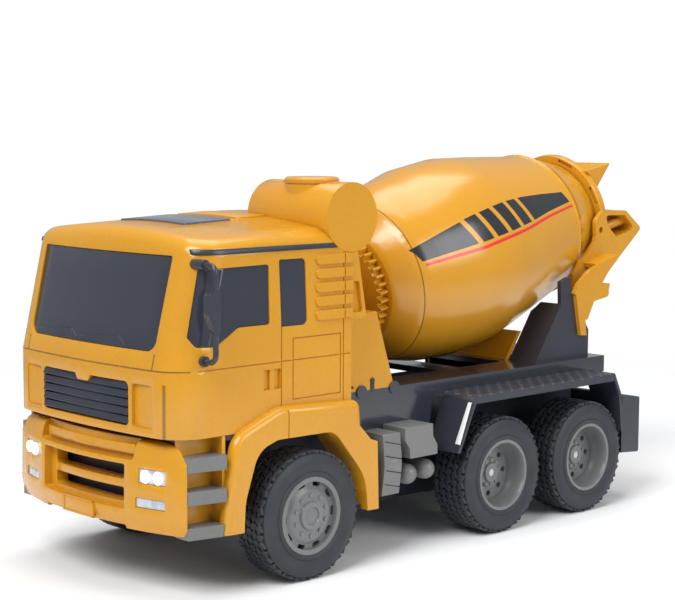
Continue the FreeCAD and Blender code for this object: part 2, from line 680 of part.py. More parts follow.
def bracket_arm():
    """Left arm: side plate with the deep open frame at its end, the cheek and the web between."""
    back = COLLAR_START + COLLAR_L
    plate = slab(ARM_OUTLINE, "x", ARM_OUTER_X - WALL, ARM_OUTER_X)
    behind = drum_turned([(back + SLIP_GAP, 0), (back + SLIP_GAP, 60), (back + 60, 60), (back + 60, 0)])
    deep = slab(ARM_OUTLINE, "x", ARM_INNER_X, ARM_OUTER_X).common(behind)
    arm = plate.fuse(deep).cut(slab(ARM_WINDOW, "x", ARM_INNER_X - 1, ARM_OUTER_X + 1))
    bar_start = vec(LOOP_BAR_X, 266.0, 116.6)
    bar_way = vec(0, 19.0, 4.2)
    bar = rod(bar_start, bar_way, LOOP_BAR_R, bar_way.Length).common(slab(ARM_OUTLINE, "x", 0, ARM_OUTER_X))
    arm = arm.fuse(bar)
    collar_room = drum_turned([(COLLAR_START - SLIP_GAP, 0), (COLLAR_START - SLIP_GAP, COLLAR_R),
                               (back, COLLAR_R), (back, 0)])
    arm = arm.cut([drum_keep_out(TURN_GAP), collar_room])
    for y, z in ARM_HOLES:
        arm = arm.cut(rod(vec(ARM_OUTER_X - WALL - 1, y, z), vec(1, 0, 0), ARM_HOLE_R, WALL + 2))
    pivot_y, pivot_z = CHUTE_PIVOT
    arm = arm.cut(rod(vec(ARM_INNER_X - 1, pivot_y, pivot_z), vec(1, 0, 0), CHUTE_PIN_R + RUN_FIT,
                      CHUTE_PIN_L + 2))
    cheek = slab(CHEEK_OUTLINE, "x", REAR_POST_HALF, REAR_POST_HALF + CHEEK_T)
    web = slab([(261.1, 106.1), (248.0, 102.5), (248.5, 100.7), (260.8, 103.6)], "x", ARM_OUTER_X - WALL,
               REAR_POST_HALF + CHEEK_T)
    foot = slab([(256.0, 93.6), (250.6, 93.9), (250.0, 92.0), (255.4, 91.6)], "x", ARM_OUTER_X - WALL,
                REAR_POST_HALF + CHEEK_T)
    return arm.fuse([cheek, web.cut(drum_keep_out(TURN_GAP)), foot]).removeSplitter()


def chute():
    """Discharge trough hinged between the arms, folded up along them."""
    half = ARM_INNER_X - SLIP_GAP
    side = CHUTE_H / 2
    trough = slab([(-3, -side, 1), (CHUTE_L, -side, 1), (CHUTE_L, side, 1), (-3, side, 1)], "x", -half,
                  half)
    hollow = box((-half + THIN_WALL, half - THIN_WALL), (-5, CHUTE_L + 2), (-side + THIN_WALL, side + 2))
    trough = trough.cut(hollow)
    trough.rotate(vec(0, 0, 0), vec(1, 0, 0), CHUTE_LIFT)
    trough.translate(vec(0, CHUTE_PIVOT[0], CHUTE_PIVOT[1]))
    pins = []
    for sign in (1, -1):
        start = vec(sign * (half - 1), CHUTE_PIVOT[0], CHUTE_PIVOT[1])
        pins.append(rod(start, vec(sign, 0, 0), CHUTE_PIN_R, CHUTE_PIN_L + 1))
    return trough.fuse(pins).removeSplitter()


# ---- drum supports ---------------------------------------------------------------------------
def pedestal_outline(inset):
    """Side view of the front pedestal, drawn inside its skin by an inset."""
    front = PEDESTAL_FRONT_Y + inset
    low = DECK_TOP if inset == 0 else DECK_TOP - 1
    return [(front, low), (front, PEDESTAL_FRONT_Z - inset, 1.0),
            (PEDESTAL_TOP_Y - inset, PEDESTAL_TOP_Z - inset, 1.0),
            (PEDESTAL_REAR_Y - inset, low)]


def front_pedestal():
    """Stand behind the cab: cheeks, top plate and the drum's front bearing."""
    stand = slab(pedestal_outline(0), "x", -PEDESTAL_HALF, PEDESTAL_HALF)
    inside = slab(pedestal_outline(WALL), "x", -PEDESTAL_HALF + WALL, PEDESTAL_HALF - WALL)
    gate = box((-PEDESTAL_GATE_HALF, PEDESTAL_GATE_HALF), (PEDESTAL_TOP_Y - WALL - 4, REACH),
               (DECK_TOP - 1, PEDESTAL_GATE_Z))
    stand = stand.cut([inside, gate])
    housing_r = JOURNAL_R + BEARING_WALL
    bearing_s = JOURNAL_S - THIN_WALL
    bearing = rod(drum_point(bearing_s), DRUM_AXIS, housing_r, BEARING_L + THIN_WALL)
    foot = drum_box(housing_r, (bearing_s, bearing_s + 4), (-housing_r - 2, 0))
    bridge = box((-housing_r, housing_r), (PEDESTAL_TOP_Y - 6, drum_point(bearing_s + 1).y),
                 (PEDESTAL_GATE_Z + 0.5, PEDESTAL_TOP_Z - 1))
    stand = stand.fuse([bearing, foot, bridge])
    return stand.cut(rod(drum_point(JOURNAL_S - SLIP_GAP), DRUM_AXIS, JOURNAL_R + RUN_FIT,
                         30)).removeSplitter()


def rear_post():
    """Left dark post beside the drum, with its slanted front flange."""
    half = REAR_POST_HALF
    shoulder = DECK_TOP + POST_SHOULDER_H
    outline = [(POST_FRONT_Y, DECK_TOP), (224.5, 86.6, 3.0), (224.0, 96.1, 1.0), (230.0, 98.0, 1.0),
               (232.2, 90.0), (POST_REAR_Y, shoulder), (POST_REAR_Y, DECK_TOP)]
    plate = slab(outline, "x", half - WALL, half)
    flange = slab([(POST_FRONT_Y, DECK_TOP), (224.5, 86.6), (225.6, 85.2), (POST_FRONT_Y + 2.6, DECK_TOP)],
                  "x", POST_FLANGE_X, half)
    rear_web = box((POST_WEB_X, half), (POST_REAR_Y - POST_WEB_T, POST_REAR_Y), (DECK_TOP, shoulder))
    return plate.fuse([flange, rear_web]).cut(drum_keep_out(TURN_GAP)).removeSplitter()


def rear_cradle():
    """Slanted plate across the deck under the drum, with a foot flange."""
    floor = DECK_TOP
    top = floor + CRADLE_H
    plate = slab([(206.0, floor), (214.4, top), (216.4, top), (209.4, floor + WALL), (240.0, floor + WALL),
                  (240.0, floor)], "x", -CRADLE_HALF, CRADLE_HALF)
    return plate.cut(drum_keep_out(TURN_GAP))


# ---- deck and chassis ------------------------------------------------------------------------
def deck():
    """Platform: plate with openings, side bands, the deeper panels, latches and ribs below."""
    shape = box((-DECK_HALF, DECK_HALF), (DECK_FRONT_Y, DECK_REAR_Y), (DECK_SKIRT, DECK_TOP))
    shape = shape.cut(box((-DECK_HALF + WALL, DECK_HALF - WALL), (DECK_FRONT_Y - 1, DECK_REAR_Y - WALL),
                          (DECK_SKIRT - 1, DECK_TOP - DECK_PLATE_T)))
    panel = slab([(SIDE_PANEL_Y, DECK_TOP - 1), (SIDE_PANEL_Y, SIDE_PANEL_Z),
                  (SIDE_PANEL_END_Y, SIDE_PANEL_Z),
                  (SIDE_PANEL_END_Y + 3, DECK_TOP - 1)], "x", DECK_HALF - WALL, DECK_HALF)
    parts = [panel, mirrored(panel)]
    for sign in (1, -1):
        rib_x = sign * (TUB_HALF - WALL / 2)
        parts.append(box((rib_x - 1, rib_x + 1), (DECK_FRONT_Y + 4, DECK_REAR_Y - 2),
                         (TUB_TOP, DECK_TOP - 1)))
        for y in LATCHES_Y:
            inner_x = sign * (DECK_HALF - LATCH_W / 2)
            parts.append(rod(vec(inner_x, y, DECK_TOP - 0.4), vec(sign, 0, 0), LATCH_R, LATCH_W / 2 + 0.6))
    shape = shape.fuse(parts)
    for start, end in OPENINGS_Y:
        shape = shape.cut(slab([(-OPENING_HALF, start, 2), (OPENING_HALF, start, 2), (OPENING_HALF, end, 2),
                                (-OPENING_HALF, end, 2)], "z", TUB_TOP - 1, DECK_TOP + 1))
    stand = box((-PEDESTAL_HALF, PEDESTAL_HALF), (PEDESTAL_FRONT_Y, PEDESTAL_REAR_Y),
                (DECK_TOP, DECK_TOP + LATCH_R))
    return shape.cut(stand).removeSplitter()


def gear_case(margin):
    """Round room of the drive gear below the floor; a margin gives its outside."""
    half = DRIVE_GEAR_W / 2 + GEAR_ROOM + margin
    tip_r = DRIVE_MODULE * (AXLE_GEAR_TEETH / 2 + 1)
    return rod(vec(GEAR_X - half, REAR_AXLE_Y, AXLE_Z), vec(1, 0, 0), tip_r + 0.6 + margin, 2 * half)


def motor_cradle():
    """Two saddles on the tub's floor below the drive motor."""
    saddles = []
    for x in (MOTOR_FACE_X - 5, MOTOR_FACE_X - MOTOR_L + 3):
        saddles.append(box((x - 1.5, x + 1.5), (MOTOR_Y + 3, MOTOR_Y + MOTOR_R + 1),
                           (FLOOR_TOP - 1, MOTOR_Z - 2)))
    can = rod(vec(-REACH / 2, MOTOR_Y, MOTOR_Z), vec(1, 0, 0), MOTOR_R + SEAT_GAP, REACH)
    return [saddle.cut(can) for saddle in saddles]


def tub_outline(inset):
    """Side view of the tub, drawn inside its skin by an inset."""
    front, rear, step = TUB_FRONT_Y + inset, TUB_REAR_Y - inset, NOSE_END_Y + inset
    top = TUB_TOP if inset == 0 else TUB_TOP + 1
    return [(front, top), (front, NOSE_BOTTOM + inset), (step, NOSE_BOTTOM + inset),
            (step, TUB_BOTTOM + inset),
            (rear, TUB_BOTTOM + inset), (rear, top)]


def chassis_tub():
    """Long tub with the bumper's cross plate, gear case, motor cradle, and slots for the axles."""
    shape = slab(tub_outline(0), "x", -TUB_HALF, TUB_HALF)
    inside = slab(tub_outline(WALL), "x", -TUB_HALF + WALL, TUB_HALF - WALL)
    below = box((-REACH, REACH), (0, REACH), (0, FLOOR_TOP))
    plate = box((-CARRIER_HALF, CARRIER_HALF), (TUB_FRONT_Y - WALL, TUB_FRONT_Y), CARRIER_Z)
    ribs_y = (BUMPER_DEPTH, TUB_FRONT_Y - WALL)
    ribs = [box((sign * CARRIER_RIB_X - 1, sign * CARRIER_RIB_X + 1), ribs_y, CARRIER_Z) for sign in (1,
                                                                                                      -1)]
    shape = shape.cut(inside).fuse([gear_case(CASE_WALL).common(below), plate] + ribs + motor_cradle())
    cuts = [gear_case(0)]
    for y in REAR_AXLES_Y:
        cuts.append(rod(vec(-TUB_HALF - 1, y, AXLE_Z), vec(1, 0, 0), HOUSING_R + SEAT_GAP,
                        2 * TUB_HALF + 2))
    beam_half = BEAM_HALF + SEAT_GAP
    cuts.append(box((-TUB_HALF - 1, TUB_HALF + 1), (FRONT_AXLE_Y - beam_half, FRONT_AXLE_Y + beam_half),
                    (FLOOR_TOP, FLOOR_TOP + BEAM_H + SEAT_GAP)))
    tie_y = FRONT_AXLE_Y + ARM_LENGTH
    cuts.append(box((-TUB_HALF - 1, TUB_HALF + 1), (tie_y - 5, tie_y + 5),
                    (TIE_Z - 1, TIE_Z + TIE_ROD_T + 1)))
    cuts.append(battery_hatch(0))
    cuts.append(box((-SWITCH_L / 2, SWITCH_L / 2), (SWITCH_Y - SWITCH_W / 2, SWITCH_Y + SWITCH_W / 2),
                    (TUB_BOTTOM - 1, FLOOR_TOP + 1)))
    return shape.cut(cuts).removeSplitter()


def battery_hatch(gap):
    """Block of the battery opening in the floor, smaller by a gap all round."""
    half = 2 * BATTERY_CELL_R + DOOR_MARGIN - gap
    y_span = (BATTERY_Y - DOOR_MARGIN + gap, BATTERY_Y + BATTERY_L + DOOR_MARGIN - gap)
    return box((-half, half), y_span, (TUB_BOTTOM, FLOOR_TOP))


def battery_door():
    """Cover in the tub's floor with a finger recess."""
    recess = rod(vec(0, BATTERY_Y + 4, TUB_BOTTOM - 1), vec(0, 0, 1), 2.5, 1.8)
    return battery_hatch(SEAT_GAP).cut(recess)


def battery_pack():
    """Two cells side by side in one wrap, round where the wrap bends over them."""
    r = BATTERY_CELL_R
    bend = WRAP_BEND * r
    top = FLOOR_TOP + 2 * r
    outline = [(-2 * r, FLOOR_TOP, bend), (2 * r, FLOOR_TOP, bend), (2 * r, top, bend), (-2 * r, top, bend)]
    return slab(outline, "y", BATTERY_Y, BATTERY_Y + BATTERY_L)


def power_switch():
    """Slide switch body on the tub's floor."""
    body = box((-SWITCH_L / 2 - 2, SWITCH_L / 2 + 2),
               (SWITCH_Y - SWITCH_W / 2 - 1, SWITCH_Y + SWITCH_W / 2 + 1),
               (FLOOR_TOP, FLOOR_TOP + SWITCH_H))
    half = KNOB_W / 2 + SLIP_GAP
    slot = box((-SWITCH_L / 2, SWITCH_L / 2), (SWITCH_Y - half, SWITCH_Y + half),
               (FLOOR_TOP - 1, FLOOR_TOP + SWITCH_H / 2))
    return body.cut(slot)


def switch_knob():
    """Sliding knob, sunk in the floor, free to travel both ways in the body's slot."""
    return box((-KNOB_L / 2, KNOB_L / 2), (SWITCH_Y - KNOB_W / 2, SWITCH_Y + KNOB_W / 2),
               (TUB_BOTTOM + 0.4, FLOOR_TOP + SWITCH_H / 2 - SLIP_GAP))


# ---- rear axles ------------------------------------------------------------------------------
def axle_housing(y):
    """Tube round a rear axle: close bores at its ends, wider between."""
    end = HOUSING_END_X
    tube = rod(vec(-end, y, AXLE_Z), vec(1, 0, 0), HOUSING_R, 2 * end)
    close = rod(vec(-end - 1, y, AXLE_Z), vec(1, 0, 0), SHAFT_R + RUN_FIT, 2 * end + 2)
    wide = rod(vec(-end + JOURNAL_L, y, AXLE_Z), vec(1, 0, 0), SHAFT_R + HOUSING_ROOM,
               2 * (end - JOURNAL_L))
    return tube.cut([close, wide])


def rear_housings():
    """Both axle tubes; the driven one is open round its gear, in two lengths."""
    half = DRIVE_GEAR_W / 2 + GEAR_ROOM
    gear_room = box((GEAR_X - half, GEAR_X + half), (REAR_AXLE_Y - 20, REAR_AXLE_Y + 20), (0, 60))
    return group(axle_housing(REAR_AXLES_Y[0]).cut(gear_room).Solids + [axle_housing(REAR_AXLES_Y[1])])


def rear_shaft(y):
    """Steel shaft through both rear wheels."""
    return rod(vec(-SHAFT_END_X, y, AXLE_Z), vec(1, 0, 0), SHAFT_R, 2 * SHAFT_END_X)


def drive_direction():
    """Direction from the driven axle to the motor's shaft."""
    angle = math.radians(DRIVE_ANGLE)
    return vec(0, math.cos(angle), math.sin(angle))


def axle_gear():
    """Gear pressed on the driven axle."""
    centre = vec(GEAR_X - DRIVE_GEAR_W / 2, REAR_AXLE_Y, AXLE_Z)
    gear = spur_gear(AXLE_GEAR_TEETH, DRIVE_MODULE, DRIVE_GEAR_W, GEAR_BACKLASH, centre, vec(1, 0, 0),
                     drive_direction())
    return gear.cut(rod(centre - vec(1, 0, 0), vec(1, 0, 0), SHAFT_R, DRIVE_GEAR_W + 2))


def motor_pinion():
    """Pinion with the drive motor's shaft."""
    centre = vec(GEAR_X - DRIVE_GEAR_W / 2, MOTOR_Y, MOTOR_Z)
    gear = spur_gear(MOTOR_PINION_TEETH, DRIVE_MODULE, DRIVE_GEAR_W, GEAR_BACKLASH, centre, vec(1, 0, 0),
                     drive_direction())
    gear.rotate(centre, vec(1, 0, 0), 180.0 / MOTOR_PINION_TEETH)
    shaft = rod(centre - vec(6, 0, 0), vec(1, 0, 0), MOTOR_SHAFT_R, DRIVE_GEAR_W + 6.5)
    return gear.fuse(shaft)


def drive_motor():
    """Drive motor lying across the tub beside the gear, one flat towards the axle's tube."""
    centre = vec(MOTOR_FACE_X, MOTOR_Y, MOTOR_Z)
    can = motor_can(centre, vec(-1, 0, 0), drive_direction(), MOTOR_L)
    return can.cut(rod(centre + vec(2, 0, 0), vec(-1, 0, 0), MOTOR_SHAFT_R + RUN_FIT, 9))


# ---- wheels ----------------------------------------------------------------------------------
def tyre(side_x, width, y):
    """Tyre with round shoulders and four tread grooves."""
    inner = side_x - width
    profile = [(inner + 0.8, BEAD_R), (inner + 0.2, BEAD_R + 3), (inner, BEAD_R + 5),
               (inner + 0.3, TYRE_R - TYRE_SHOULDER),
               (inner + 1.1, TYRE_R - 0.6), (inner + 2.2, TYRE_R), (side_x - 2.2, TYRE_R),
               (side_x - 1.1, TYRE_R - 0.6),
               (side_x - 0.3, TYRE_R - TYRE_SHOULDER), (side_x, BEAD_R + 5), (side_x - 0.2, BEAD_R + 3),
               (side_x - 0.6, RIM_LIP_R), (side_x - 1.0, RIM_LIP_R), (side_x - 1.0, BEAD_R)]
    body = turned_x(profile, y, AXLE_Z)
    grooves = []
    for k in range(1, GROOVE_COUNT + 1):
        x = inner + width * k / (GROOVE_COUNT + 1)
        grooves.append(turned_x([(x - GROOVE_W / 2, TYRE_R - GROOVE_DEPTH), (x - GROOVE_W / 2, TYRE_R + 1),
                                 (x + GROOVE_W / 2, TYRE_R + 1), (x + GROOVE_W / 2, TYRE_R - GROOVE_DEPTH)],
                                 y, AXLE_Z))
    return body.cut(grooves)


def around(shape, count, y, first=0.0):
    """Copies of a shape turned round a wheel's axis."""
    copies = []
    for k in range(count):
        copy = shape.copy()
        copy.rotate(vec(0, y, AXLE_Z), vec(1, 0, 0), first + 360.0 * k / count)
        copies.append(copy)
    return copies


def front_rim():
    """Front rim: nearly flush disc with ten windows, nuts and a raised centre."""
    y = FRONT_AXLE_Y
    outer = TYRE_SIDE_X - 0.5
    inner = TYRE_SIDE_X - FRONT_TYRE_W + 0.8
    barrel = turned_x([(inner, BEAD_R - RIM_WALL), (inner, BEAD_R), (outer - 0.3, BEAD_R),
                       (outer - 0.3, RIM_LIP_R - 0.4),
                       (outer, RIM_LIP_R - 0.4), (outer, BEAD_R - RIM_WALL)], y, AXLE_Z)
    face = outer - 0.8
    disc = turned_x([(face - FRONT_DISC_T - 1, BEAD_R - 0.6), (face - 1, BEAD_R - 0.6), (face - 0.8, 10.4),
                     (face, 9.2),
                     (face + 0.3, 6.0), (face + 0.3, 5.2), (face + 1.2, 5.0), (face + 1.2, 3.4),
                     (face + 0.6, 3.2),
                     (face + 0.6, 0), (face - FRONT_DISC_T, 0), (face - FRONT_DISC_T, 9.0)], y, AXLE_Z)
    hub = turned_x([(STUB_SHOULDER_X + SLIP_GAP, 0), (STUB_SHOULDER_X + SLIP_GAP, HUB_R), (face - 1, HUB_R),
                    (face - 1, 0)],
                   y, AXLE_Z)
    rim = barrel.fuse([disc, hub])
    window = slab([(-1.6, 10.7, 0.5), (1.6, 10.7, 0.5), (1.9, 12.3, 0.5), (-1.9, 12.3, 0.5)], "x", face - 6,
                  face + 4)
    window.translate(vec(0, y, AXLE_Z))
    nut = rod(vec(face - 0.5, y, AXLE_Z + 7.4), vec(1, 0, 0), 0.75, 1.3)
    rim = rim.cut(around(window, WINDOW_COUNT, y, 180.0 / WINDOW_COUNT)).fuse(around(nut, NUT_COUNT, y))
    bore = rod(vec(STUB_SHOULDER_X, y, AXLE_Z), vec(1, 0, 0), STUB_R + RUN_FIT,
               STUB_END_X - STUB_SHOULDER_X + 0.6)
    return rim.cut(bore).removeSplitter()


def rear_rim(y):
    """Rear rim: deep dish with eight hand holes and a hub."""
    outer = TYRE_SIDE_X - 0.4
    inner = TYRE_SIDE_X - REAR_TYRE_W + 0.8
    disc_x = outer - REAR_DISH_DEPTH
    barrel = turned_x([(inner, BEAD_R - RIM_WALL), (inner, BEAD_R), (outer - 0.5, BEAD_R),
                       (outer - 0.5, RIM_LIP_R - 0.4),
                       (outer, RIM_LIP_R - 0.4), (outer, 13.0), (disc_x + 2.0, 11.9), (disc_x + 1.4, 11.4),
                       (disc_x, 11.2), (disc_x - REAR_DISC_T, BEAD_R - RIM_WALL)], y, AXLE_Z)
    disc = turned_x([(disc_x - REAR_DISC_T, 0), (disc_x - REAR_DISC_T, BEAD_R - 0.6),
                     (disc_x, BEAD_R - 0.6), (disc_x, 6.2),
                     (disc_x + 0.9, 5.8), (disc_x + 0.9, 4.2), (disc_x + 1.8, 3.8), (disc_x + 1.8, 0)], y,
                     AXLE_Z)
    hub_start = HOUSING_END_X + SLIP_GAP
    hub = turned_x([(hub_start, 0), (hub_start, HUB_R), (disc_x, HUB_R), (disc_x, 0)], y, AXLE_Z)
    hole = rod(vec(disc_x - REAR_DISC_T - 1, y, AXLE_Z + 8.7), vec(1, 0, 0), HAND_HOLE_R, REAR_DISC_T + 3)
    nut = rod(vec(disc_x + 0.4, y, AXLE_Z + 5.0), vec(1, 0, 0), 0.5, 1.0)
    rim = barrel.fuse([disc, hub]).cut(around(hole, HAND_HOLE_COUNT, y)).fuse(around(nut, NUT_COUNT, y))
    return rim.cut(rod(vec(0, y, AXLE_Z), vec(1, 0, 0), SHAFT_R, REACH)).removeSplitter()


# ---- steering --------------------------------------------------------------------------------
def front_beam():
    """Front axle beam with a pair of ears at each end for the kingpins."""
    y_span = (FRONT_AXLE_Y - BEAM_HALF, FRONT_AXLE_Y + BEAM_HALF)
    bar = box((-KINGPIN_X + 3, KINGPIN_X - 3), y_span, (FLOOR_TOP, FLOOR_TOP + BEAM_H))
    parts = []
    for sign in (1, -1):
        wall_x = sign * (KINGPIN_X - KNUCKLE_W / 2 - KNUCKLE_SWING)
        root_x = wall_x - sign * BEAM_WALL
        low_z = AXLE_Z - EAR_GAP - EAR_T
        top_z = AXLE_Z + EAR_GAP + EAR_T
        parts.append(box((root_x, wall_x), y_span, (low_z, top_z)))
        for z in (low_z, top_z - EAR_T):
            parts.append(box((root_x, sign * KINGPIN_X), (FRONT_AXLE_Y - 3, FRONT_AXLE_Y + 3),
                             (z, z + EAR_T)))
            parts.append(rod(vec(sign * KINGPIN_X, FRONT_AXLE_Y, z), vec(0, 0, 1), 3, EAR_T))
    beam = bar.fuse(parts)
    holes = [rod(vec(sign * KINGPIN_X, FRONT_AXLE_Y, 0), vec(0, 0, 1), KINGPIN_R, 80) for sign in (1, -1)]
    return beam.cut(holes).removeSplitter()


def kingpins():
    """Two steel pins through the ears and knuckles."""
    length = 2 * (EAR_GAP + EAR_T)
    return group([rod(vec(sign * KINGPIN_X, FRONT_AXLE_Y, AXLE_Z - length / 2), vec(0, 0, 1), KINGPIN_R,
                      length)
                  for sign in (1, -1)])


def knuckle():
    """Left steering knuckle with its stub axle and steering arm."""
    x_span = (KINGPIN_X - 2.6, STUB_SHOULDER_X)
    block = box(x_span, (FRONT_AXLE_Y - 3, FRONT_AXLE_Y + 3),
                (AXLE_Z - KNUCKLE_H / 2, AXLE_Z + KNUCKLE_H / 2))
    barrel = rod(vec(KINGPIN_X, FRONT_AXLE_Y, AXLE_Z - KNUCKLE_H / 2), vec(0, 0, 1), 3, KNUCKLE_H)
    stub = rod(vec(STUB_SHOULDER_X - 1, FRONT_AXLE_Y, AXLE_Z), vec(1, 0, 0), STUB_R,
               STUB_END_X - STUB_SHOULDER_X + 1)
    arm = box((KINGPIN_X - 2, KINGPIN_X + 2), (FRONT_AXLE_Y + 1, FRONT_AXLE_Y + ARM_LENGTH),
              (AXLE_Z - ARM_T / 2, AXLE_Z + ARM_T / 2))
    tip = rod(vec(KINGPIN_X, FRONT_AXLE_Y + ARM_LENGTH, AXLE_Z - ARM_T / 2), vec(0, 0, 1), 2, ARM_T)
    pin = rod(vec(KINGPIN_X, FRONT_AXLE_Y + ARM_LENGTH, AXLE_Z), vec(0, 0, 1), ARM_PIN_R,
              ARM_T / 2 + SLIP_GAP + TIE_ROD_T + 0.5)
    body = barrel.fuse([block, stub, arm, tip, pin])
    bore = rod(vec(KINGPIN_X, FRONT_AXLE_Y, 0), vec(0, 0, 1), KINGPIN_R + RUN_FIT, 80)
    return body.cut(bore).removeSplitter()


def tie_rod():
    """Bar that joins both steering arms; its eyes are slots, long fore and aft."""
    y = FRONT_AXLE_Y + ARM_LENGTH
    z_span = (TIE_Z, TIE_Z + TIE_ROD_T)
    bar = box((-KINGPIN_X, KINGPIN_X), (y - 2.0, y + 2.0), z_span)
    shapes = []
    slots = []
    play = ARM_PIN_R + 0.2
    for x in (-KINGPIN_X, 0, KINGPIN_X):
        shapes.append(slab([(x - 2.8, y - 3.6, 1), (x + 2.8, y - 3.6, 1), (x + 2.8, y + 3.2, 1),
                            (x - 2.8, y + 3.2, 1)], "z", *z_span))
        slots.append(slab([(x - play, y - play - TIE_SLOT_PLAY, 0.9),
                           (x + play, y - play - TIE_SLOT_PLAY, 0.9),
                           (x + play, y + play, 0.9), (x - play, y + play, 0.9)], "z", TIE_Z - 1,
                           TIE_Z + TIE_ROD_T + 1))
    return bar.fuse(shapes).cut(slots).removeSplitter()


def servo_horn():
    """Arm of the steering motor, with the pin in the tie rod's middle eye."""
    y = FRONT_AXLE_Y
    arm = box((-2, 2), (y, y + ARM_LENGTH), (HORN_Z, HORN_Z + 2))
    boss = rod(vec(0, y, HORN_Z - 0.5), vec(0, 0, 1), 3.5, 2.5)
    tip = rod(vec(0, y + ARM_LENGTH, HORN_Z), vec(0, 0, 1), 2, 2)
    pin = rod(vec(0, y + ARM_LENGTH, HORN_Z - SLIP_GAP - TIE_ROD_T), vec(0, 0, 1), ARM_PIN_R, TIE_ROD_T + 1)
    shaft = rod(vec(0, y, HORN_Z), vec(0, 0, 1), HORN_SHAFT_R, 5)
    return arm.fuse([boss, tip, pin, shaft]).removeSplitter()


def steering_servo():
    """Steering motor case above the horn, with fixing ears that stand on the tub's floor."""
    low = HORN_Z + 2 + SLIP_GAP
    case = box((-SERVO_W / 2, SERVO_W / 2), (FRONT_AXLE_Y - SERVO_L / 2, FRONT_AXLE_Y + SERVO_L / 2),
               (low, low + SERVO_H))
    ears = box((-TUB_HALF + WALL, TUB_HALF - WALL), (FRONT_AXLE_Y - 3, FRONT_AXLE_Y + 3),
               (low + 3, low + 5))
    legs = []
    for sign in (1, -1):
        legs.append(box((sign * (TUB_HALF - WALL), sign * (TUB_HALF - WALL - 3)),
                        (FRONT_AXLE_Y - 3, FRONT_AXLE_Y + 3),
                        (FLOOR_TOP + BEAM_H, low + 4)))
    body = case.fuse([ears] + legs)
    return body.cut(rod(vec(0, FRONT_AXLE_Y, low - 1), vec(0, 0, 1), HORN_SHAFT_R + RUN_FIT,
                        5)).removeSplitter()


# ---- cab -------------------------------------------------------------------------------------
SCREEN_OUTLINE = [(-37.2, 85.6, 4.0), (37.2, 85.6, 4.0), (38.0, 118.0, 0.8), (-38.0, 118.0, 0.8)]
GRILLE_OUTLINE = [(-25.7, 59.2, 2.0), (25.7, 59.2, 2.0), (25.7, 74.6, 2.0), (4.6, 74.6), (3.2, 72.4, 0.8),
                  (-3.2, 72.4, 0.8), (-4.6, 74.6), (-25.7, 74.6, 2.0)]
DOOR_WINDOW = [(16.9, 113.8, 0.8), (45.8, 114.2, 1.2), (46.3, 93.1, 0.8), (32.3, 93.1, 4.0),
               (22.3, 87.2, 3.5),
               (14.0, 87.6, 2.0), (11.9, 91.0)]
REAR_WINDOW = [(50.4, 115.5, 0.6), (62.9, 115.5, 2.0), (64.1, 91.8, 2.0), (51.6, 91.8, 0.6)]
SLOT_PANEL = [(27.6, 59.3, 0.8), (37.9, 59.3, 1.6), (37.9, 74.3, 1.6), (27.6, 74.3, 0.8)]
HATCH_OUTLINE = [(-19.0, 33.0, 1.0), (19.0, 33.0, 1.0), (19.0, 55.0, 1.0), (-19.0, 55.0, 1.0)]
ROOF_PANEL = [(-18.0, 58.5, 1.0), (18.0, 58.5, 1.0), (18.0, 72.5, 1.0), (-18.0, 72.5, 1.0)]
HANDLE_Y = (43.5, 51.4)
HANDLE_Z = (70.1, 77.2)
# panel joints of the side: (y from, y to, z from, z to), each joint as wide as a seam
SIDE_JOINTS = ((51.7, 51.7, 63.7, 115.5), (9.5, 84.8, 79.6, 79.6), (10.3, 10.3, 80.0, 100.0),
               (57.2, 80.3, 87.3, 87.3), (57.2, 80.3, 65.6, 65.6), (57.2, 57.2, 65.6, 87.3),
               (80.3, 80.3, 65.6, 87.3), (81.8, 81.8, 60.0, 116.5))


def cab_block(inset):
    """Cab body: leaning screen and bowed front, cambered roof, rounded corners."""
    lean = math.radians(SCREEN_LEAN)
    half = CAB_HALF - inset
    front = CAB_FRONT_Y + inset
    kink = CAB_BELT_Z - inset * math.tan(lean / 2)
    high = CAB_ROOF_Z + 15
    bottom = CAB_BOTTOM if inset <= 0 else CAB_BOTTOM - 5
    face = Part.Face(rounded_wire([(front, bottom), (front, kink),
                                   (front + (high - kink) * math.tan(lean), high),
                                   (CAB_REAR_Y - inset, high), (CAB_REAR_Y - inset, bottom)], "x"))
    centre_y = CAB_FRONT_Y + CAB_CROWN_R
    sweep = math.degrees(math.atan(1.2 * CAB_HALF / (CAB_CROWN_R - CAB_REAR_Y)))
    face.rotate(vec(0, centre_y, 0), vec(0, 0, 1), -sweep)
    bow = face.revolve(vec(0, centre_y, 0), vec(0, 0, 1), 2 * sweep)
    slope = math.radians(ROOF_SLOPE)
    along = vec(0, math.cos(slope), math.sin(slope))
    square = vec(0, -math.sin(slope), math.cos(slope))
    roof = rod(vec(0, CAB_REAR_Y, CAB_ROOF_Z) - square * ROOF_CAMBER_R - along * 150, along,
               ROOF_CAMBER_R - inset, 300)
    roof.rotate(vec(0, CAB_REAR_Y, CAB_ROOF_Z) - square * ROOF_CAMBER_R, along, 90)
    clip = box((-half, half), (-20, CAB_REAR_Y - inset), (0, 200))
    block = bow.common(clip).common(roof)
    uprights = []
    for edge in block.Edges:
        bounds = edge.BoundBox
        on_side = abs(abs(bounds.XMax) - half) < 0.01 and bounds.XLength < 0.01
        if on_side and bounds.YMax < half and bounds.ZLength > 10:
            uprights.append(edge)
    block = block.makeFillet(CORNER_ROUND - inset, uprights)
    rims = []
    for edge in block.Edges:
        bounds = edge.BoundBox
        middle = edge.valueAt((edge.FirstParameter + edge.LastParameter) / 2)
        if bounds.ZMin > CAB_BELT_Z + 10 and middle.y < CAB_REAR_Y - inset - 0.5 and bounds.ZLength < 8:
            rims.append(edge)
    return block.makeFillet(CAB_ROUND - inset, rims)


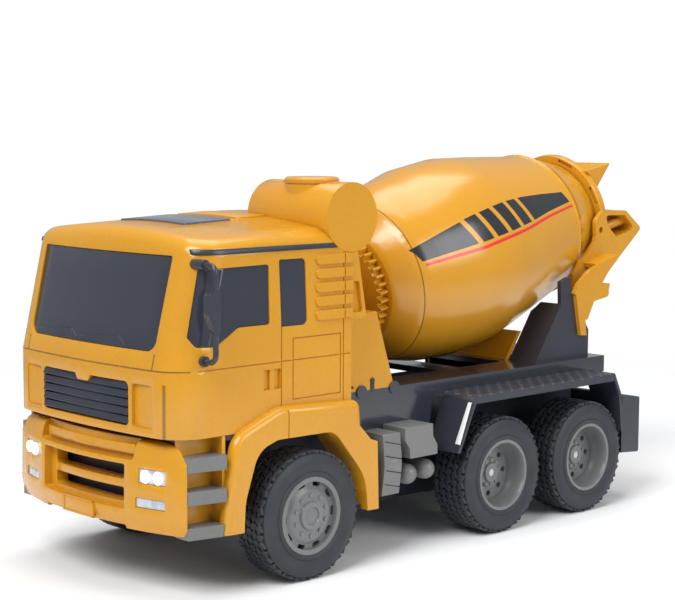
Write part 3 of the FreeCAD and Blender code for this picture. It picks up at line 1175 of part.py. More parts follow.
def grown(corners, margin):
    """Outline moved outwards by a margin, each corner along its own bisector."""
    area = sum(corners[i - 1][0] * c[1] - c[0] * corners[i - 1][1] for i, c in enumerate(corners))
    turn = 1 if area > 0 else -1
    count = len(corners)
    result = []
    for i, corner in enumerate(corners):
        ax, ay = corners[i - 1][0], corners[i - 1][1]
        bx, by = corner[0], corner[1]
        cx, cy = corners[(i + 1) % count][0], corners[(i + 1) % count][1]
        first = math.hypot(bx - ax, by - ay)
        second = math.hypot(cx - bx, cy - by)
        n1 = (turn * (by - ay) / first, -turn * (bx - ax) / first)
        n2 = (turn * (cy - by) / second, -turn * (cx - bx) / second)
        scale = margin / (1 + n1[0] * n2[0] + n1[1] * n2[1])
        moved = (bx + (n1[0] + n2[0]) * scale, by + (n1[1] + n2[1]) * scale)
        result.append(moved + ((max(corner[2] + margin, 0.2),) if len(corner) > 2 else ()))
    return result


def front_prism(corners, margin=0.0):
    return slab(grown(corners, margin), "y", -5, 30)


def side_prism(corners, margin=0.0):
    return slab(grown(corners, margin), "x", CAB_HALF - 7, CAB_HALF + 5)


def glazing(prism, corners, recess):
    """Pane that fills an opening, with a flange behind the cab's wall."""
    skin = cab_block(recess)
    behind = cab_block(WALL + SEAT_GAP / 2)
    core = cab_block(WALL + GLASS_T)
    pane = skin.common(prism(corners, -SEAT_GAP))
    flange = behind.common(prism(corners, GLASS_FLANGE))
    return pane.fuse(flange).cut(core).removeSplitter()


def side_windows():
    """Door and rear windows of both sides."""
    panes = [glazing(side_prism, DOOR_WINDOW, GLASS_RECESS), glazing(side_prism, REAR_WINDOW, GLASS_RECESS)]
    return group(panes + [mirrored(pane) for pane in panes])


def side_joints():
    """Panel joints of the left side, as thin cutters from outside."""
    half = SEAM_W / 2
    return [box((CAB_HALF - SEAM_DEPTH, CAB_HALF + 1), (y0 - half, y1 + half), (z0 - half, z1 + half))
            for y0, y1, z0, z1 in SIDE_JOINTS]


def column():
    """Left rear corner column with its vent recess."""
    root = CAB_REAR_Y - WALL
    solid = slab([(root, COLUMN_Z), (CAB_REAR_Y + COLUMN_FOOT_D, COLUMN_Z, 0.6),
                  (CAB_REAR_Y + COLUMN_HEAD_D, COLUMN_TOP_Z, 0.6), (root, COLUMN_TOP_Z)],
                 "x", CAB_HALF - COLUMN_W, CAB_HALF)
    vent = slab([(86.3, 94.3, 0.8), (91.6, 94.3, 0.8), (89.6, 105.8, 0.8), (86.3, 105.8, 0.8)], "x",
                CAB_HALF - THIN_WALL, CAB_HALF + 1)
    return solid.cut(vent)


def ribs():
    """Raised ribs behind the rear window, rounded at their front ends."""
    shapes = []
    for k in range(RIB_COUNT):
        z = RIB_TOP_Z - k * RIB_PITCH
        half = RIB_H / 2
        shapes.append(slab([(RIB_FRONT_Y, z - half, half * 0.95), (RIB_FRONT_Y, z + half, half * 0.95),
                            (CAB_REAR_Y, z + half), (CAB_REAR_Y, z - half)], "x", CAB_HALF - 1,
                            CAB_HALF + RIB_PROUD))
    return shapes


def tank_room(gap):
    """Cylinder of the water tank, larger by a gap."""
    return rod(vec(TANK_INNER_X - gap, TANK_Y, TANK_Z), vec(1, 0, 0), TANK_R + gap, REACH)


def cab_shell():
    """Cab moulding, open below."""
    shell = cab_block(0).cut(cab_block(WALL))
    left = ribs() + [column()]
    shell = shell.fuse(left + [mirrored(s) for s in left])
    panel = slab(SLOT_PANEL, "y", -5, CAB_FRONT_Y + 2.4)
    handle = box((CAB_HALF - TRIM_DEPTH, CAB_HALF + 1), HANDLE_Y, HANDLE_Z)
    trim = drip_block(0)
    side = [side_prism(DOOR_WINDOW), side_prism(REAR_WINDOW), handle, panel, trim] + side_joints()
    for z in MIRROR_MOUNTS_Z:
        side.append(rod(vec(CAB_HALF - 8, MIRROR_Y, z), vec(1, 0, 0), MIRROR_PEG_R + SEAT_GAP, 10))
    hatch_seat = slab(grown(HATCH_OUTLINE, SEAT_GAP), "z", CAB_BELT_Z, CAB_ROOF_Z + 3)
    cuts = [front_prism(SCREEN_OUTLINE), front_prism(GRILLE_OUTLINE), tank_room(SEAT_GAP),
            hatch_seat.cut(cab_block(HATCH_T))]
    shell = shell.cut(cuts + side + [mirrored(s) for s in side])
    roof_panel = shifted(cab_block(0), 0, 0,
                         HATCH_PROUD).common(slab(ROOF_PANEL, "z", CAB_BELT_Z, CAB_ROOF_Z + 3))
    raised = roof_panel.cut([cab_block(HATCH_T), tank_room(SEAT_GAP)])
    middle = (HANDLE_Y[0] + HANDLE_Y[1]) / 2
    grip = box((CAB_HALF - TRIM_DEPTH - 0.2, CAB_HALF - 0.2), (middle - 1, middle + 1),
               (HANDLE_Z[0] - 0.1, HANDLE_Z[1] + 0.1))
    return shell.fuse([raised, grip, mirrored(grip)]).removeSplitter()


def roof_hatch():
    """Dark hatch let into the roof, a little proud."""
    lid = shifted(cab_block(0), 0, 0, HATCH_PROUD).common(slab(HATCH_OUTLINE, "z", CAB_BELT_Z,
                                                               CAB_ROOF_Z + 3))
    return lid.cut(cab_block(HATCH_T))


def drip_block(gap):
    """Room of the left drip strip in the cab's skin, smaller by a gap at its edges."""
    low, high = TRIM_Z - TRIM_H / 2 + gap, TRIM_Z + TRIM_H / 2 - gap
    front, rear = TRIM_FRONT_Y + gap, TRIM_REAR_Y - gap
    strip = slab([(front, low, 0.4), (front, high, 0.4), (rear, high, 0.4), (rear, low, 0.4)], "x",
                 CAB_HALF - CORNER_ROUND, CAB_HALF + 1)
    return strip.cut(cab_block(TRIM_DEPTH))


def drip_strips():
    """Dark drip strips over the doors."""
    strip = drip_block(SEAT_GAP).common(cab_block(-SEAT_PROUD)).cut(tank_room(SEAT_GAP))
    return group([strip, mirrored(strip)])


def grille():
    """Dark grille insert with its louvres."""
    base = glazing(front_prism, GRILLE_OUTLINE, GRILLE_RECESS)
    pitch = 15.0 / LOUVRE_COUNT
    blades = []
    for k in range(LOUVRE_COUNT):
        z = GRILLE_OUTLINE[0][1] + 0.6 + k * pitch
        root = CAB_FRONT_Y + WALL + GLASS_T
        blade = slab([(root, z), (CAB_FRONT_Y + 0.5, z + 0.2, 0.2),
                      (CAB_FRONT_Y + 1.4, z + pitch - 0.5, 0.2),
                      (root, z + pitch - 0.4)], "x", -REACH, REACH)
        blades.append(blade.common(front_prism(GRILLE_OUTLINE, -SEAT_GAP)))
    inside = cab_block(WALL + GLASS_T)
    return base.fuse([blade.cut(inside) for blade in blades]).removeSplitter()


def cab_floor():
    """Dark plate below the cab, narrower between the steps."""
    front, wide = STEP_INNER_X - 2 * THIN_WALL + 1.0, CAB_HALF - SEAT_GAP
    turn_y = STEP_REAR_Y + WALL
    outline = [(-front, BUMPER_DEPTH + 1), (front, BUMPER_DEPTH + 1), (front, turn_y), (wide, turn_y),
               (wide, CAB_REAR_Y - SEAT_GAP), (-wide, CAB_REAR_Y - SEAT_GAP), (-wide, turn_y),
               (-front, turn_y)]
    return slab(outline, "z", TUB_TOP, CAB_BOTTOM)


def side_mirror():
    """Left mirror: bent tube with the mirror body, two pads and their pegs."""
    top_z, low_z = MIRROR_MOUNTS_Z
    out_x, y, bend = MIRROR_OUT_X, MIRROR_Y, MIRROR_BEND
    start_x = CAB_HALF - 0.5
    slant = bend * math.sin(math.pi / 4)
    sag = bend - slant
    path = [Part.LineSegment(vec(start_x, y, top_z), vec(out_x - bend, y, top_z)).toShape(),
            Part.Arc(vec(out_x - bend, y, top_z), vec(out_x - sag, y, top_z - sag),
                     vec(out_x, y, top_z - bend)).toShape(),
            Part.LineSegment(vec(out_x, y, top_z - bend), vec(out_x, y, low_z + bend)).toShape(),
            Part.Arc(vec(out_x, y, low_z + bend), vec(out_x - sag, y, low_z + sag),
                     vec(out_x - bend, y, low_z)).toShape(),
            Part.LineSegment(vec(out_x - bend, y, low_z), vec(start_x, y, low_z)).toShape()]
    profile = Part.Wire([Part.makeCircle(MIRROR_TUBE_R, vec(start_x, y, top_z), vec(1, 0, 0))])
    tube = Part.Wire(path).makePipeShell([profile], True, True)
    pads = [rod(vec(CAB_HALF - PAD_REACH, y, z), vec(1, 0, 0), MIRROR_PAD_R, PAD_REACH + 1.2)
            for z in MIRROR_MOUNTS_Z]
    low, high = MIRROR_BODY_Z
    inner_x = out_x + MIRROR_FACE - MIRROR_BODY_W
    body = slab([(y + 1.2, low, 1.0), (y - 1.6, low + 2.4, 1.5), (y - 4.0, low + 8.0, 3.0),
                 (y - 4.0, high - 1.5, 1.5),
                 (y - 1.0, high, 1.0), (y + 1.2, high, 0.8)], "x", inner_x, inner_x + MIRROR_BODY_W)
    outer = tube.fuse(pads + [body]).cut(cab_block(0))
    pegs = [rod(vec(CAB_HALF - PAD_REACH, y, z), vec(1, 0, 0), MIRROR_PEG_R, PAD_REACH + 0.8)
            for z in MIRROR_MOUNTS_Z]
    return outer.fuse(pegs).removeSplitter()


# ---- bumper, lamps, steps, fenders -----------------------------------------------------------
def bumper_block(inset):
    """Bumper body bowed across the truck, solid to its rear plane."""
    low, top = BUMPER_BOTTOM + inset, BUMPER_TOP - inset
    rear = BUMPER_DEPTH + inset * 2
    outline = [(inset, low + 5.5), (inset + 0.4, top - 7.5), (inset + 2.6, top, BUMPER_ROUND),
               (2 * BUMPER_DEPTH, top),
               (2 * BUMPER_DEPTH, low), (inset + 1.4, low, 0.8)]
    face = Part.Face(rounded_wire(outline, "x"))
    sweep = math.degrees(math.asin(1.1 * BUMPER_HALF / BUMPER_CROWN_R))
    face.rotate(vec(0, BUMPER_CROWN_R, 0), vec(0, 0, 1), -sweep)
    bow = face.revolve(vec(0, BUMPER_CROWN_R, 0), vec(0, 0, 1), 2 * sweep)
    half = BUMPER_HALF - inset
    return bow.common(box((-half, half), (-20, rear), (0, 200)))


def rect(half, z_span, radius):
    """Rectangle across the front with rounded corners."""
    low, high = z_span
    return [(-half, low, radius), (half, low, radius), (half, high, radius), (-half, high, radius)]


def bumper():
    """Front bumper moulding: air slots in a recess, lamp openings, lip in its pocket, plate field."""
    body = bumper_block(0)
    inside = bumper_block(WALL)
    trays = [box((-RECESS_HALF - WALL, RECESS_HALF + WALL), (-5, BUMPER_DEPTH),
                 (RECESS_Z[0] - WALL, RECESS_Z[1] + WALL)),
             box((-POCKET_HALF - WALL, POCKET_HALF + WALL), (-5, BUMPER_DEPTH),
                 (POCKET_Z - WALL, BUMPER_TOP + 1))]
    body = body.cut(inside.cut(trays))
    recess = slab(rect(RECESS_HALF, RECESS_Z, 1.0), "y", -5,
                  20).cut(shifted(bumper_block(0), 0, RECESS_DEPTH, 0))
    pocket_top = (POCKET_Z, BUMPER_TOP + 10)
    pocket = slab(rect(POCKET_HALF, pocket_top, 1.0), "y", -5, 20)
    pocket = pocket.cut(rod(vec(0, BUMPER_CROWN_R + POCKET_DEPTH, 0), vec(0, 0, 1), BUMPER_CROWN_R, 100))
    slots = [slab(rect(SLOT_HALF, z_span, 0.8), "y", -5, 2 * BUMPER_DEPTH) for z_span in SLOTS_Z]
    cuts = [recess, pocket] + slots
    for x_span, z_span in ((LAMP_X, LAMP_Z), (FOG_X, FOG_Z)):
        opening = box(x_span, (-5, 2 * BUMPER_DEPTH), z_span)
        cuts += [opening, mirrored(opening)]
    cuts.append(slab([(-SKIRT_HALF - 2, 0), (SKIRT_HALF + 2, 0),
                      (SKIRT_HALF, BUMPER_BOTTOM + SKIRT_RISE, 0.6),
                      (-SKIRT_HALF, BUMPER_BOTTOM + SKIRT_RISE, 0.6)], "y", -5, 2 * BUMPER_DEPTH))
    plate = slab(rect(PLATE_HALF, PLATE_Z, 0.5), "y", -5, 5)
    cuts.append(plate.cut(shifted(bumper_block(0), 0, PLATE_DEPTH, 0)))
    body = body.cut(cuts)
    face = LIP_STAND_OFF + 0.6
    lip = slab([(face, LIP_Z[0]), (face + 0.3, LIP_Z[1]), (POCKET_DEPTH + 1.5, LIP_Z[1] + 0.3),
                (POCKET_DEPTH + 1.5, LIP_Z[0])],
               "x", -LIP_HALF, LIP_HALF)
    lip_bow = rod(vec(0, BUMPER_CROWN_R + face, 0), vec(0, 0, 1), BUMPER_CROWN_R, 100)
    return body.fuse(lip.common(lip_bow)).removeSplitter()


def front_lamps():
    """Clear head and fog lamp blocks in their openings, bowed like the bumper."""
    skin = shifted(bumper_block(0), 0, LAMP_RECESS, 0)
    lamps = []
    for x_span, z_span in ((LAMP_X, LAMP_Z), (FOG_X, FOG_Z)):
        prism = box((x_span[0] + SEAT_GAP, x_span[1] - SEAT_GAP), (-5, LAMP_DEPTH),
                    (z_span[0] + SEAT_GAP, z_span[1] - SEAT_GAP))
        lamps += [skin.common(prism), skin.common(mirrored(prism))]
    return group(lamps)


def steps_room(gap):
    """Fender body seen from the steps, larger by a gap."""
    return slab(grown(FENDER_OUTER, gap), "x", CAB_HALF - gap, REACH)


def step_housing():
    """Left riser wall inside the steps, and the wall behind them."""
    top = CAB_BOTTOM - SEAT_GAP
    riser = box((STEP_INNER_X - THIN_WALL, STEP_INNER_X), (BUMPER_DEPTH + SEAT_GAP, STEP_REAR_Y),
                (STEP_BASE_Z, top))
    back = box((STEP_INNER_X - THIN_WALL, CAB_HALF), (STEP_REAR_Y, STEP_REAR_Y + THIN_WALL),
               (STEP_BASE_Z, top))
    return riser.fuse(back).cut(steps_room(0)).removeSplitter()


def steps():
    """Three grey treads on each side."""
    treads = []
    front_y = BUMPER_DEPTH + SEAT_GAP
    for top, height in zip(STEP_TOPS, STEP_HEIGHTS):
        tread = slab([(STEP_INNER_X, front_y), (BUMPER_HALF + 0.5, front_y, 0.5),
                      (STEP_REAR_X, STEP_REAR_Y, 0.5),
                      (STEP_INNER_X, STEP_REAR_Y)], "z", top - height, top)
        treads.append(tread.cut(steps_room(SEAT_GAP)))
    return group(treads + [mirrored(tread) for tread in treads])


FENDER_OUTER = [(22.9, 22.4), (27.9, 55.8, 9.0), (49.0, 64.1, 14.0), (87.6, 62.3, 3.2), (88.5, 51.3),
                (92.6, 47.2),
                (96.0, 46.1), (96.8, 20.5)]
FENDER_ARCH = [(31.1, 15.0), (32.1, 33.0, 20.0), (38.0, 50.0, 10.0), (47.0, 52.8, 6.0), (74.0, 52.5, 8.0),
               (89.9, 33.6, 20.0),
               (91.7, 15.0)]
FENDER_JOINT_Y = 52.0


def fender():
    """Left front fender: a proud rounded band round the wheel arch, with the arch's liner."""
    band = slab(FENDER_OUTER, "x", CAB_HALF, FENDER_X)
    edges = []
    for edge in band.Edges:
        bounds = edge.BoundBox
        outside = bounds.XMin > FENDER_X - 0.01
        forward = bounds.YMin < FENDER_OUTER[3][0] - 1 and bounds.YMax < 90
        if outside and forward and bounds.ZLength + bounds.YLength > 1:
            edges.append(edge)
    band = band.makeFillet(FENDER_ROUND, edges)
    joint = box((FENDER_X - SEAM_DEPTH, FENDER_X + 1),
                (FENDER_JOINT_Y - SEAM_W / 2, FENDER_JOINT_Y + SEAM_W / 2), (50, 70))
    liner = slab(grown(FENDER_ARCH, LINER_T), "x", LINER_X,
                 CAB_HALF + 1).cut(box((0, 100), (0, REACH), (0, FENDER_OUTER[-1][1] + 2)))
    liner = liner.cut(box((0, 100), (0, REACH), (TUB_TOP - SEAT_GAP, 100)))
    arch = slab(FENDER_ARCH, "x", LINER_X - 1, FENDER_X + 1)
    return band.fuse(liner).cut([arch, joint]).removeSplitter()


# ---- side equipment --------------------------------------------------------------------------
def step_box():
    """Left ribbed box behind the cab, with a bowed outer face."""
    x, (y0, y1), (z0, z1) = SIDE_BOX_X, STEP_BOX_Y, STEP_BOX_Z
    shape = slab([(DECK_HALF, z0 + 1), (x - 1.6, z0, 0.5), (x, (z0 + z1) / 2, 20), (x - 1.2, z1, 0.5),
                  (DECK_HALF, z1)],
                 "y", y0, y1)
    grooves = []
    for k in range(4):
        groove = box((x - 2.0, x + 2), (y0 + 0.8, y1 + 2), (z0 + 3.6 + 5.4 * k, z0 + 4.0 + 5.4 * k))
        groove.rotate(vec(x, (y0 + y1) / 2, z0 + 3.8 + 5.4 * k), vec(1, 0, 0), -14)
        grooves.append(groove)
    return shape.cut(grooves)


def wave_box():
    """Left equipment box with a waved edge."""
    (y0, y1), (z0, z1) = WAVE_BOX_Y, WAVE_BOX_Z
    outline = [(y0, z1, 0.4), (y1 - 2.6, z1, 0.4), (y1 - 2.4, z1 - 5, 1.5), (y1, z0 + 3.6, 1.5),
               (y1, z0, 0.4),
               (y0 + 2.8, z0, 0.4), (y0 + 2.6, z0 + 3.8, 1.5), (y0, z1 - 5, 1.5)]
    return slab(outline, "x", DECK_HALF, WAVE_BOX_X)


def side_boxes():
    """Equipment boxes of both sides."""
    left = [step_box(), wave_box()]
    return group(left + [mirrored(piece) for piece in left])


def air_tanks():
    """Two small round-ended pressure tanks on each side of the tub."""
    tanks = []
    for y, z in AIR_TANKS:
        end = AIR_TANK_X - AIR_TANK_R
        body = rod(vec(TUB_HALF, y, z), vec(1, 0, 0), AIR_TANK_R, end - TUB_HALF)
        tanks.append(body.fuse(Part.makeSphere(AIR_TANK_R, vec(end, y, z))).removeSplitter())
    return group(tanks + [mirrored(tank) for tank in tanks])


# ---- rear mudguards and tail -----------------------------------------------------------------
def mudguard():
    """Left rear mudguard over both wheels, with a deeper outer edge."""
    t, top = GUARD_T, GUARD_TOP
    foot_y, foot_z = GUARD_FOOT
    tail_y, tail_z = GUARD_TAIL
    over = [(foot_y, foot_z), (GUARD_FRONT_Y - 2.0, top - 1.2, 3.0), (GUARD_FRONT_Y, top, 2.0),
            (GUARD_REAR_Y, top, 1.0),
            (tail_y - 2.0, top - 9.4, 3.0), (tail_y, tail_z)]
    under = [(tail_y - t, tail_z), (tail_y - 2.0 - t, top - 9.8), (GUARD_REAR_Y - 1.0, top - t),
             (GUARD_FRONT_Y + 1.0, top - t), (foot_y + t, foot_z)]
    sheet = slab(over + under, "x", DECK_HALF, TYRE_SIDE_X)
    edge = slab([(GUARD_FRONT_Y, top - t / 2), (GUARD_REAR_Y - 0.6, top - t / 2),
                 (GUARD_REAR_Y + 1.0, top - GUARD_EDGE_H),
                 (GUARD_FRONT_Y - 1.5, top - GUARD_EDGE_H)], "x", TYRE_SIDE_X - GUARD_EDGE_T, TYRE_SIDE_X)
    return sheet.fuse(edge).removeSplitter()


def tail_box():
    """Tail beam with lamp seats, fixed to the tub's rear wall."""
    y0, y1, z0, z1 = TAIL_FRONT_Y, TAIL_REAR_Y, TAIL_BOTTOM, TAIL_TOP
    beam = slab([(y0, z0 + 1), (y0, z1 - 0.5, 1.0), (y1, z1 - 2.6, 1.0), (y1, z0, 1.0)], "x", -TAIL_HALF,
                TAIL_HALF)
    hollow = box((-TAIL_HALF + WALL, TAIL_HALF - WALL), (y0 - 1, y1 - WALL),
                 (z0 + WALL + 1, z1 - WALL - 2.2))
    beam = beam.cut(hollow)
    seats = []
    for sign in (1, -1):
        seats.append(box((sign * TAIL_LAMP_X[0], sign * TAIL_LAMP_X[1]), (y1 - TAIL_LAMP_T, y1 + 1),
                         TAIL_LAMP_Z))
    bracket = box((-TUB_HALF, TUB_HALF), (TUB_REAR_Y, y1 - 1), (z0 + 10, z0 + 14))
    return beam.cut(seats).fuse(bracket).removeSplitter()


def tail_lamps():
    """Tail lamp blocks in their seats."""
    blocks = []
    for sign in (1, -1):
        x_span = (sign * (TAIL_LAMP_X[0] + SEAT_GAP), sign * (TAIL_LAMP_X[1] - SEAT_GAP))
        z_span = (TAIL_LAMP_Z[0] + SEAT_GAP, TAIL_LAMP_Z[1] - SEAT_GAP)
        blocks.append(box(x_span, (TAIL_REAR_Y - TAIL_LAMP_T, TAIL_REAR_Y + 0.3), z_span))
    return group(blocks)


# ---- water tank ------------------------------------------------------------------------------
def water_tank():
    """Drum-shaped tank let into the roof's rear left corner, with a neck for its cap."""
    length = CAB_HALF - TANK_INNER_X
    seat_z = TANK_CAP_TOP - TANK_CAP_H
    tank = rod(vec(TANK_INNER_X, TANK_Y, TANK_Z), vec(1, 0, 0), TANK_R, length)
    neck = rod(vec(CAP_X, TANK_Y, TANK_Z), vec(0, 0, 1), TANK_CAP_R - 0.4, seat_z - TANK_Z)
    hollow = rod(vec(TANK_INNER_X + WALL, TANK_Y, TANK_Z), vec(1, 0, 0), TANK_R - WALL, length - 2 * WALL)
    return tank.fuse(neck).cut([hollow, rod(vec(CAP_X, TANK_Y, seat_z), vec(0, 0, 1), TANK_R,
                                            20)]).removeSplitter()


def tank_cap():
    """Shallow round lid on the tank's neck."""
    low = TANK_CAP_TOP - TANK_CAP_H
    profile = [(0, 0), (0, TANK_CAP_R), (TANK_CAP_H - 0.8, TANK_CAP_R),
               (TANK_CAP_H, TANK_CAP_R - TANK_NECK_STEP),
               (TANK_CAP_H, 0)]
    return turned(profile, vec(CAP_X, TANK_Y, low), vec(0, 0, 1), vec(1, 0, 0))


# ---- electronics -----------------------------------------------------------------------------
def circuit_boards():
    """Main board on its standoffs and the two lamp boards on the cross plate."""
    low = NOSE_BOTTOM + WALL + BOARD_Z
    main_board = box((-BOARD_HALF, BOARD_HALF), BOARD_Y, (low, low + BOARD_T))
    standoffs = [rod(vec(sign * (BOARD_HALF - 4), y, NOSE_BOTTOM + WALL), vec(0, 0, 1), 2.0, BOARD_Z)
                 for sign in (1, -1) for y in (BOARD_Y[0] + 4, BOARD_Y[1] - 4)]
    chip = box((-6, 6), (BOARD_Y[0] + 8, BOARD_Y[0] + 20), (low + BOARD_T, low + BOARD_T + 1.2))
    boards = [main_board.fuse(standoffs + [chip]).removeSplitter()]
    rear = TUB_FRONT_Y - WALL
    for sign in (1, -1):
        board = box((sign * (LAMP_X[0] + 0.5), sign * (LAMP_X[1] - 0.5)), (rear - BOARD_T, rear), LAMP_Z)
        leds = [rod(vec(sign * x, rear - BOARD_T, sum(LAMP_Z) / 2), vec(0, -1, 0), LED_R,
                    rear - BOARD_T - LAMP_DEPTH - SEAT_GAP)
                for x in (LAMP_X[0] + 3, LAMP_X[1] - 3)]
        boards.append(board.fuse(leds).removeSplitter())
    return group(boards)


# ---- export ----------------------------------------------------------------------------------
def save(name, shape):
    """Write one node, moved so that the origin is under the middle of the truck's bounding box."""
    shape.translate(vec(-SIDE_SHIFT, -LENGTH / 2, 0))
    if shape.ShapeType == "Compound" and len(shape.Solids) == 1:
        shape = shape.Solids[0]
    volume = sum(solid.Volume for solid in shape.Solids)
    print("%-18s solids %d volume %.1f valid %s" % (name, len(shape.Solids), volume, shape.isValid()))
    shape.exportStep("parts/%s.step" % name)


def both(shape):
    """A left piece and its mirror image in one node."""
    return group([shape, mirrored(shape)])


def save_sides(name, shape):
    """A left piece and its mirror image as two nodes."""
    other = mirrored(shape)
    save(name + "_left", shape)
    save(name + "_right", other)


def main():
    os.makedirs("parts", exist_ok=True)
    pieces = {
        "cab_shell": cab_shell(),
        "windscreen": glazing(front_prism, SCREEN_OUTLINE, GLASS_RECESS),
        "side_windows": side_windows(),
        "grille": grille(),
        "roof_hatch": roof_hatch(),
        "drip_strips": drip_strips(),
        "cab_floor": cab_floor(),
        "side_mirror": side_mirror(),
        "bumper": bumper(),
        "front_lamps": front_lamps(),
        "step_housings": both(step_housing()),
        "steps": steps(),
        "front_fenders": both(fender()),
        "water_tank": water_tank(),
        "tank_cap": tank_cap(),
        "chassis_tub": chassis_tub(),
        "deck": deck(),
        "front_pedestal": front_pedestal(),
        "rear_posts": both(rear_post()),
        "rear_cradle": rear_cradle(),
        "bracket_arms": both(bracket_arm()),
        "loading_hopper": loading_hopper(),
        "discharge_chute": chute(),
        "drum_front": drum_front(),
        "drum_rear": drum_rear(),
        "ring_gear": ring_gear(),
        "drum_pinion": drum_pinion(),
        "drum_gearbox": drum_gearbox(),
        "drum_motor": drum_motor(),
        "front_beam": front_beam(),
        "kingpins": kingpins(),
        "tie_rod": tie_rod(),
        "servo_horn": servo_horn(),
        "steering_servo": steering_servo(),
        "axle_housings": rear_housings(),
        "axle_gear": axle_gear(),
        "motor_pinion": motor_pinion(),
        "drive_motor": drive_motor(),
        "side_boxes": side_boxes(),
        "air_tanks": air_tanks(),
        "rear_mudguards": both(mudguard()),
        "tail_box": tail_box(),
        "tail_lamps": tail_lamps(),
        "battery_pack": battery_pack(),
        "battery_door": battery_door(),
        "power_switch": power_switch(),
        "switch_knob": switch_knob(),
        "circuit_boards": circuit_boards(),
    }
    for name, shape in pieces.items():
        save(name, shape)
    save_sides("knuckle", knuckle())
    save_sides("front_tyre", tyre(TYRE_SIDE_X, FRONT_TYRE_W, FRONT_AXLE_Y))
    save_sides("front_rim", front_rim())
    for number, y in enumerate(REAR_AXLES_Y, start=1):
        save("rear_shaft_%d" % number, rear_shaft(y))
        save("rear_tyres_%d" % number, both(tyre(TYRE_SIDE_X, REAR_TYRE_W, y)))
        save("rear_rims_%d" % number, both(rear_rim(y)))


if __name__ == "__main__":
    main()
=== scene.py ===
"""Looks of a toy cement mixer truck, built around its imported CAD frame.

Every CAD node keeps its shape and gets a procedural finish and softened edges. The tyres are modelled anew
with their tread, and small trim that only matters to the eye is added on the body it belongs to.
Lengths are in metres, in the frame's own axes: -Y is the cab's front, +X the truck's left, +Z up.
"""

import json
import logging
import math
from dataclasses import dataclass, field
from enum import Enum
from typing import ClassVar

import bpy
from mathutils import Matrix, Vector


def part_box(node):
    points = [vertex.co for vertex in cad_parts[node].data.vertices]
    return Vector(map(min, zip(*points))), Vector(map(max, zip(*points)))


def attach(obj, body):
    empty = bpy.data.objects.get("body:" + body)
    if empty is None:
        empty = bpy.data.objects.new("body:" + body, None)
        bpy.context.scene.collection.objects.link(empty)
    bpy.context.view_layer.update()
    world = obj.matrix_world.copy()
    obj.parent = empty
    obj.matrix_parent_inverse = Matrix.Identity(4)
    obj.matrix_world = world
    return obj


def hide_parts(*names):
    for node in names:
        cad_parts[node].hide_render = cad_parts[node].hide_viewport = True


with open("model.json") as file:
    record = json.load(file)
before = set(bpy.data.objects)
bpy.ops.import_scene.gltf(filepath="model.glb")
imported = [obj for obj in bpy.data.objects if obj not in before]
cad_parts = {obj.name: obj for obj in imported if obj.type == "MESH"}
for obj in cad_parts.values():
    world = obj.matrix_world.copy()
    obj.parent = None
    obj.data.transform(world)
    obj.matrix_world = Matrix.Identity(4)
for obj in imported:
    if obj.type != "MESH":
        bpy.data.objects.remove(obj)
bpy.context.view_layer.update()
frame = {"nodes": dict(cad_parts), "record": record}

logging.basicConfig(level=logging.INFO, format="%(message)s")
LOG = logging.getLogger("scene")
MM = 0.001
SMOOTH_ANGLE = math.radians(35)
Colour = tuple[float, float, float]


# ---- modelling helpers -----------------------------------------------------------------------
class Axis(Enum):
    """Direction that a primitive's own Z is turned to."""

    X = (0.0, math.pi / 2, 0.0)
    Y = (math.pi / 2, 0.0, 0.0)


def deselect() -> None:
    """Leave object mode's selection empty, ready for the next operator."""
    if bpy.context.object and bpy.context.object.mode != "OBJECT":
        bpy.ops.object.mode_set(mode="OBJECT")
    bpy.ops.object.select_all(action="DESELECT")


def settle(piece: bpy.types.Object, name: str) -> bpy.types.Object:
    """Name a piece and bake its place into its mesh.

    Args:
        piece: the object just modelled.
        name: its name in the table of pieces.

    Returns:
        The same object, at the origin.
    """
    deselect()
    piece.select_set(True)
    bpy.context.view_layer.objects.active = piece
    bpy.ops.object.transform_apply(location=True, rotation=True, scale=True)
    piece.name = name
    piece.data.name = name
    return piece


def join(pieces: list[bpy.types.Object], name: str) -> bpy.types.Object:
    """Join several objects into one named piece.

    Args:
        pieces: the objects, the first of which gives its materials.
        name: the joined piece's name.

    Returns:
        The joined object.
    """
    deselect()
    for piece in pieces:
        piece.select_set(True)
    bpy.context.view_layer.objects.active = pieces[0]
    if len(pieces) > 1:
        bpy.ops.object.join()
    return settle(bpy.context.object, name)


def soft_block(centre: Vector, size: Vector, bevel: float, turn: Matrix | None = None) -> bpy.types.Object:
    """A block with rounded edges.

    Args:
        centre: its middle.
        size: its full lengths.
        bevel: how much its edges are rounded.
        turn: its rotation, or None.

    Returns:
        The block.
    """
    deselect()
    bpy.ops.mesh.primitive_cube_add(size=1.0)
    block = bpy.context.object
    block.scale = size
    bpy.ops.object.transform_apply(location=False, rotation=False, scale=True)
    bpy.ops.object.mode_set(mode="EDIT")
    bpy.ops.mesh.select_all(action="SELECT")
    bpy.ops.mesh.bevel(offset=bevel, segments=2, affect="EDGES")
    bpy.ops.object.mode_set(mode="OBJECT")
    bpy.ops.object.shade_smooth_by_angle(angle=SMOOTH_ANGLE)
    block.matrix_world = Matrix.Translation(centre) @ (turn.to_4x4() if turn else Matrix.Identity(4))
    return block


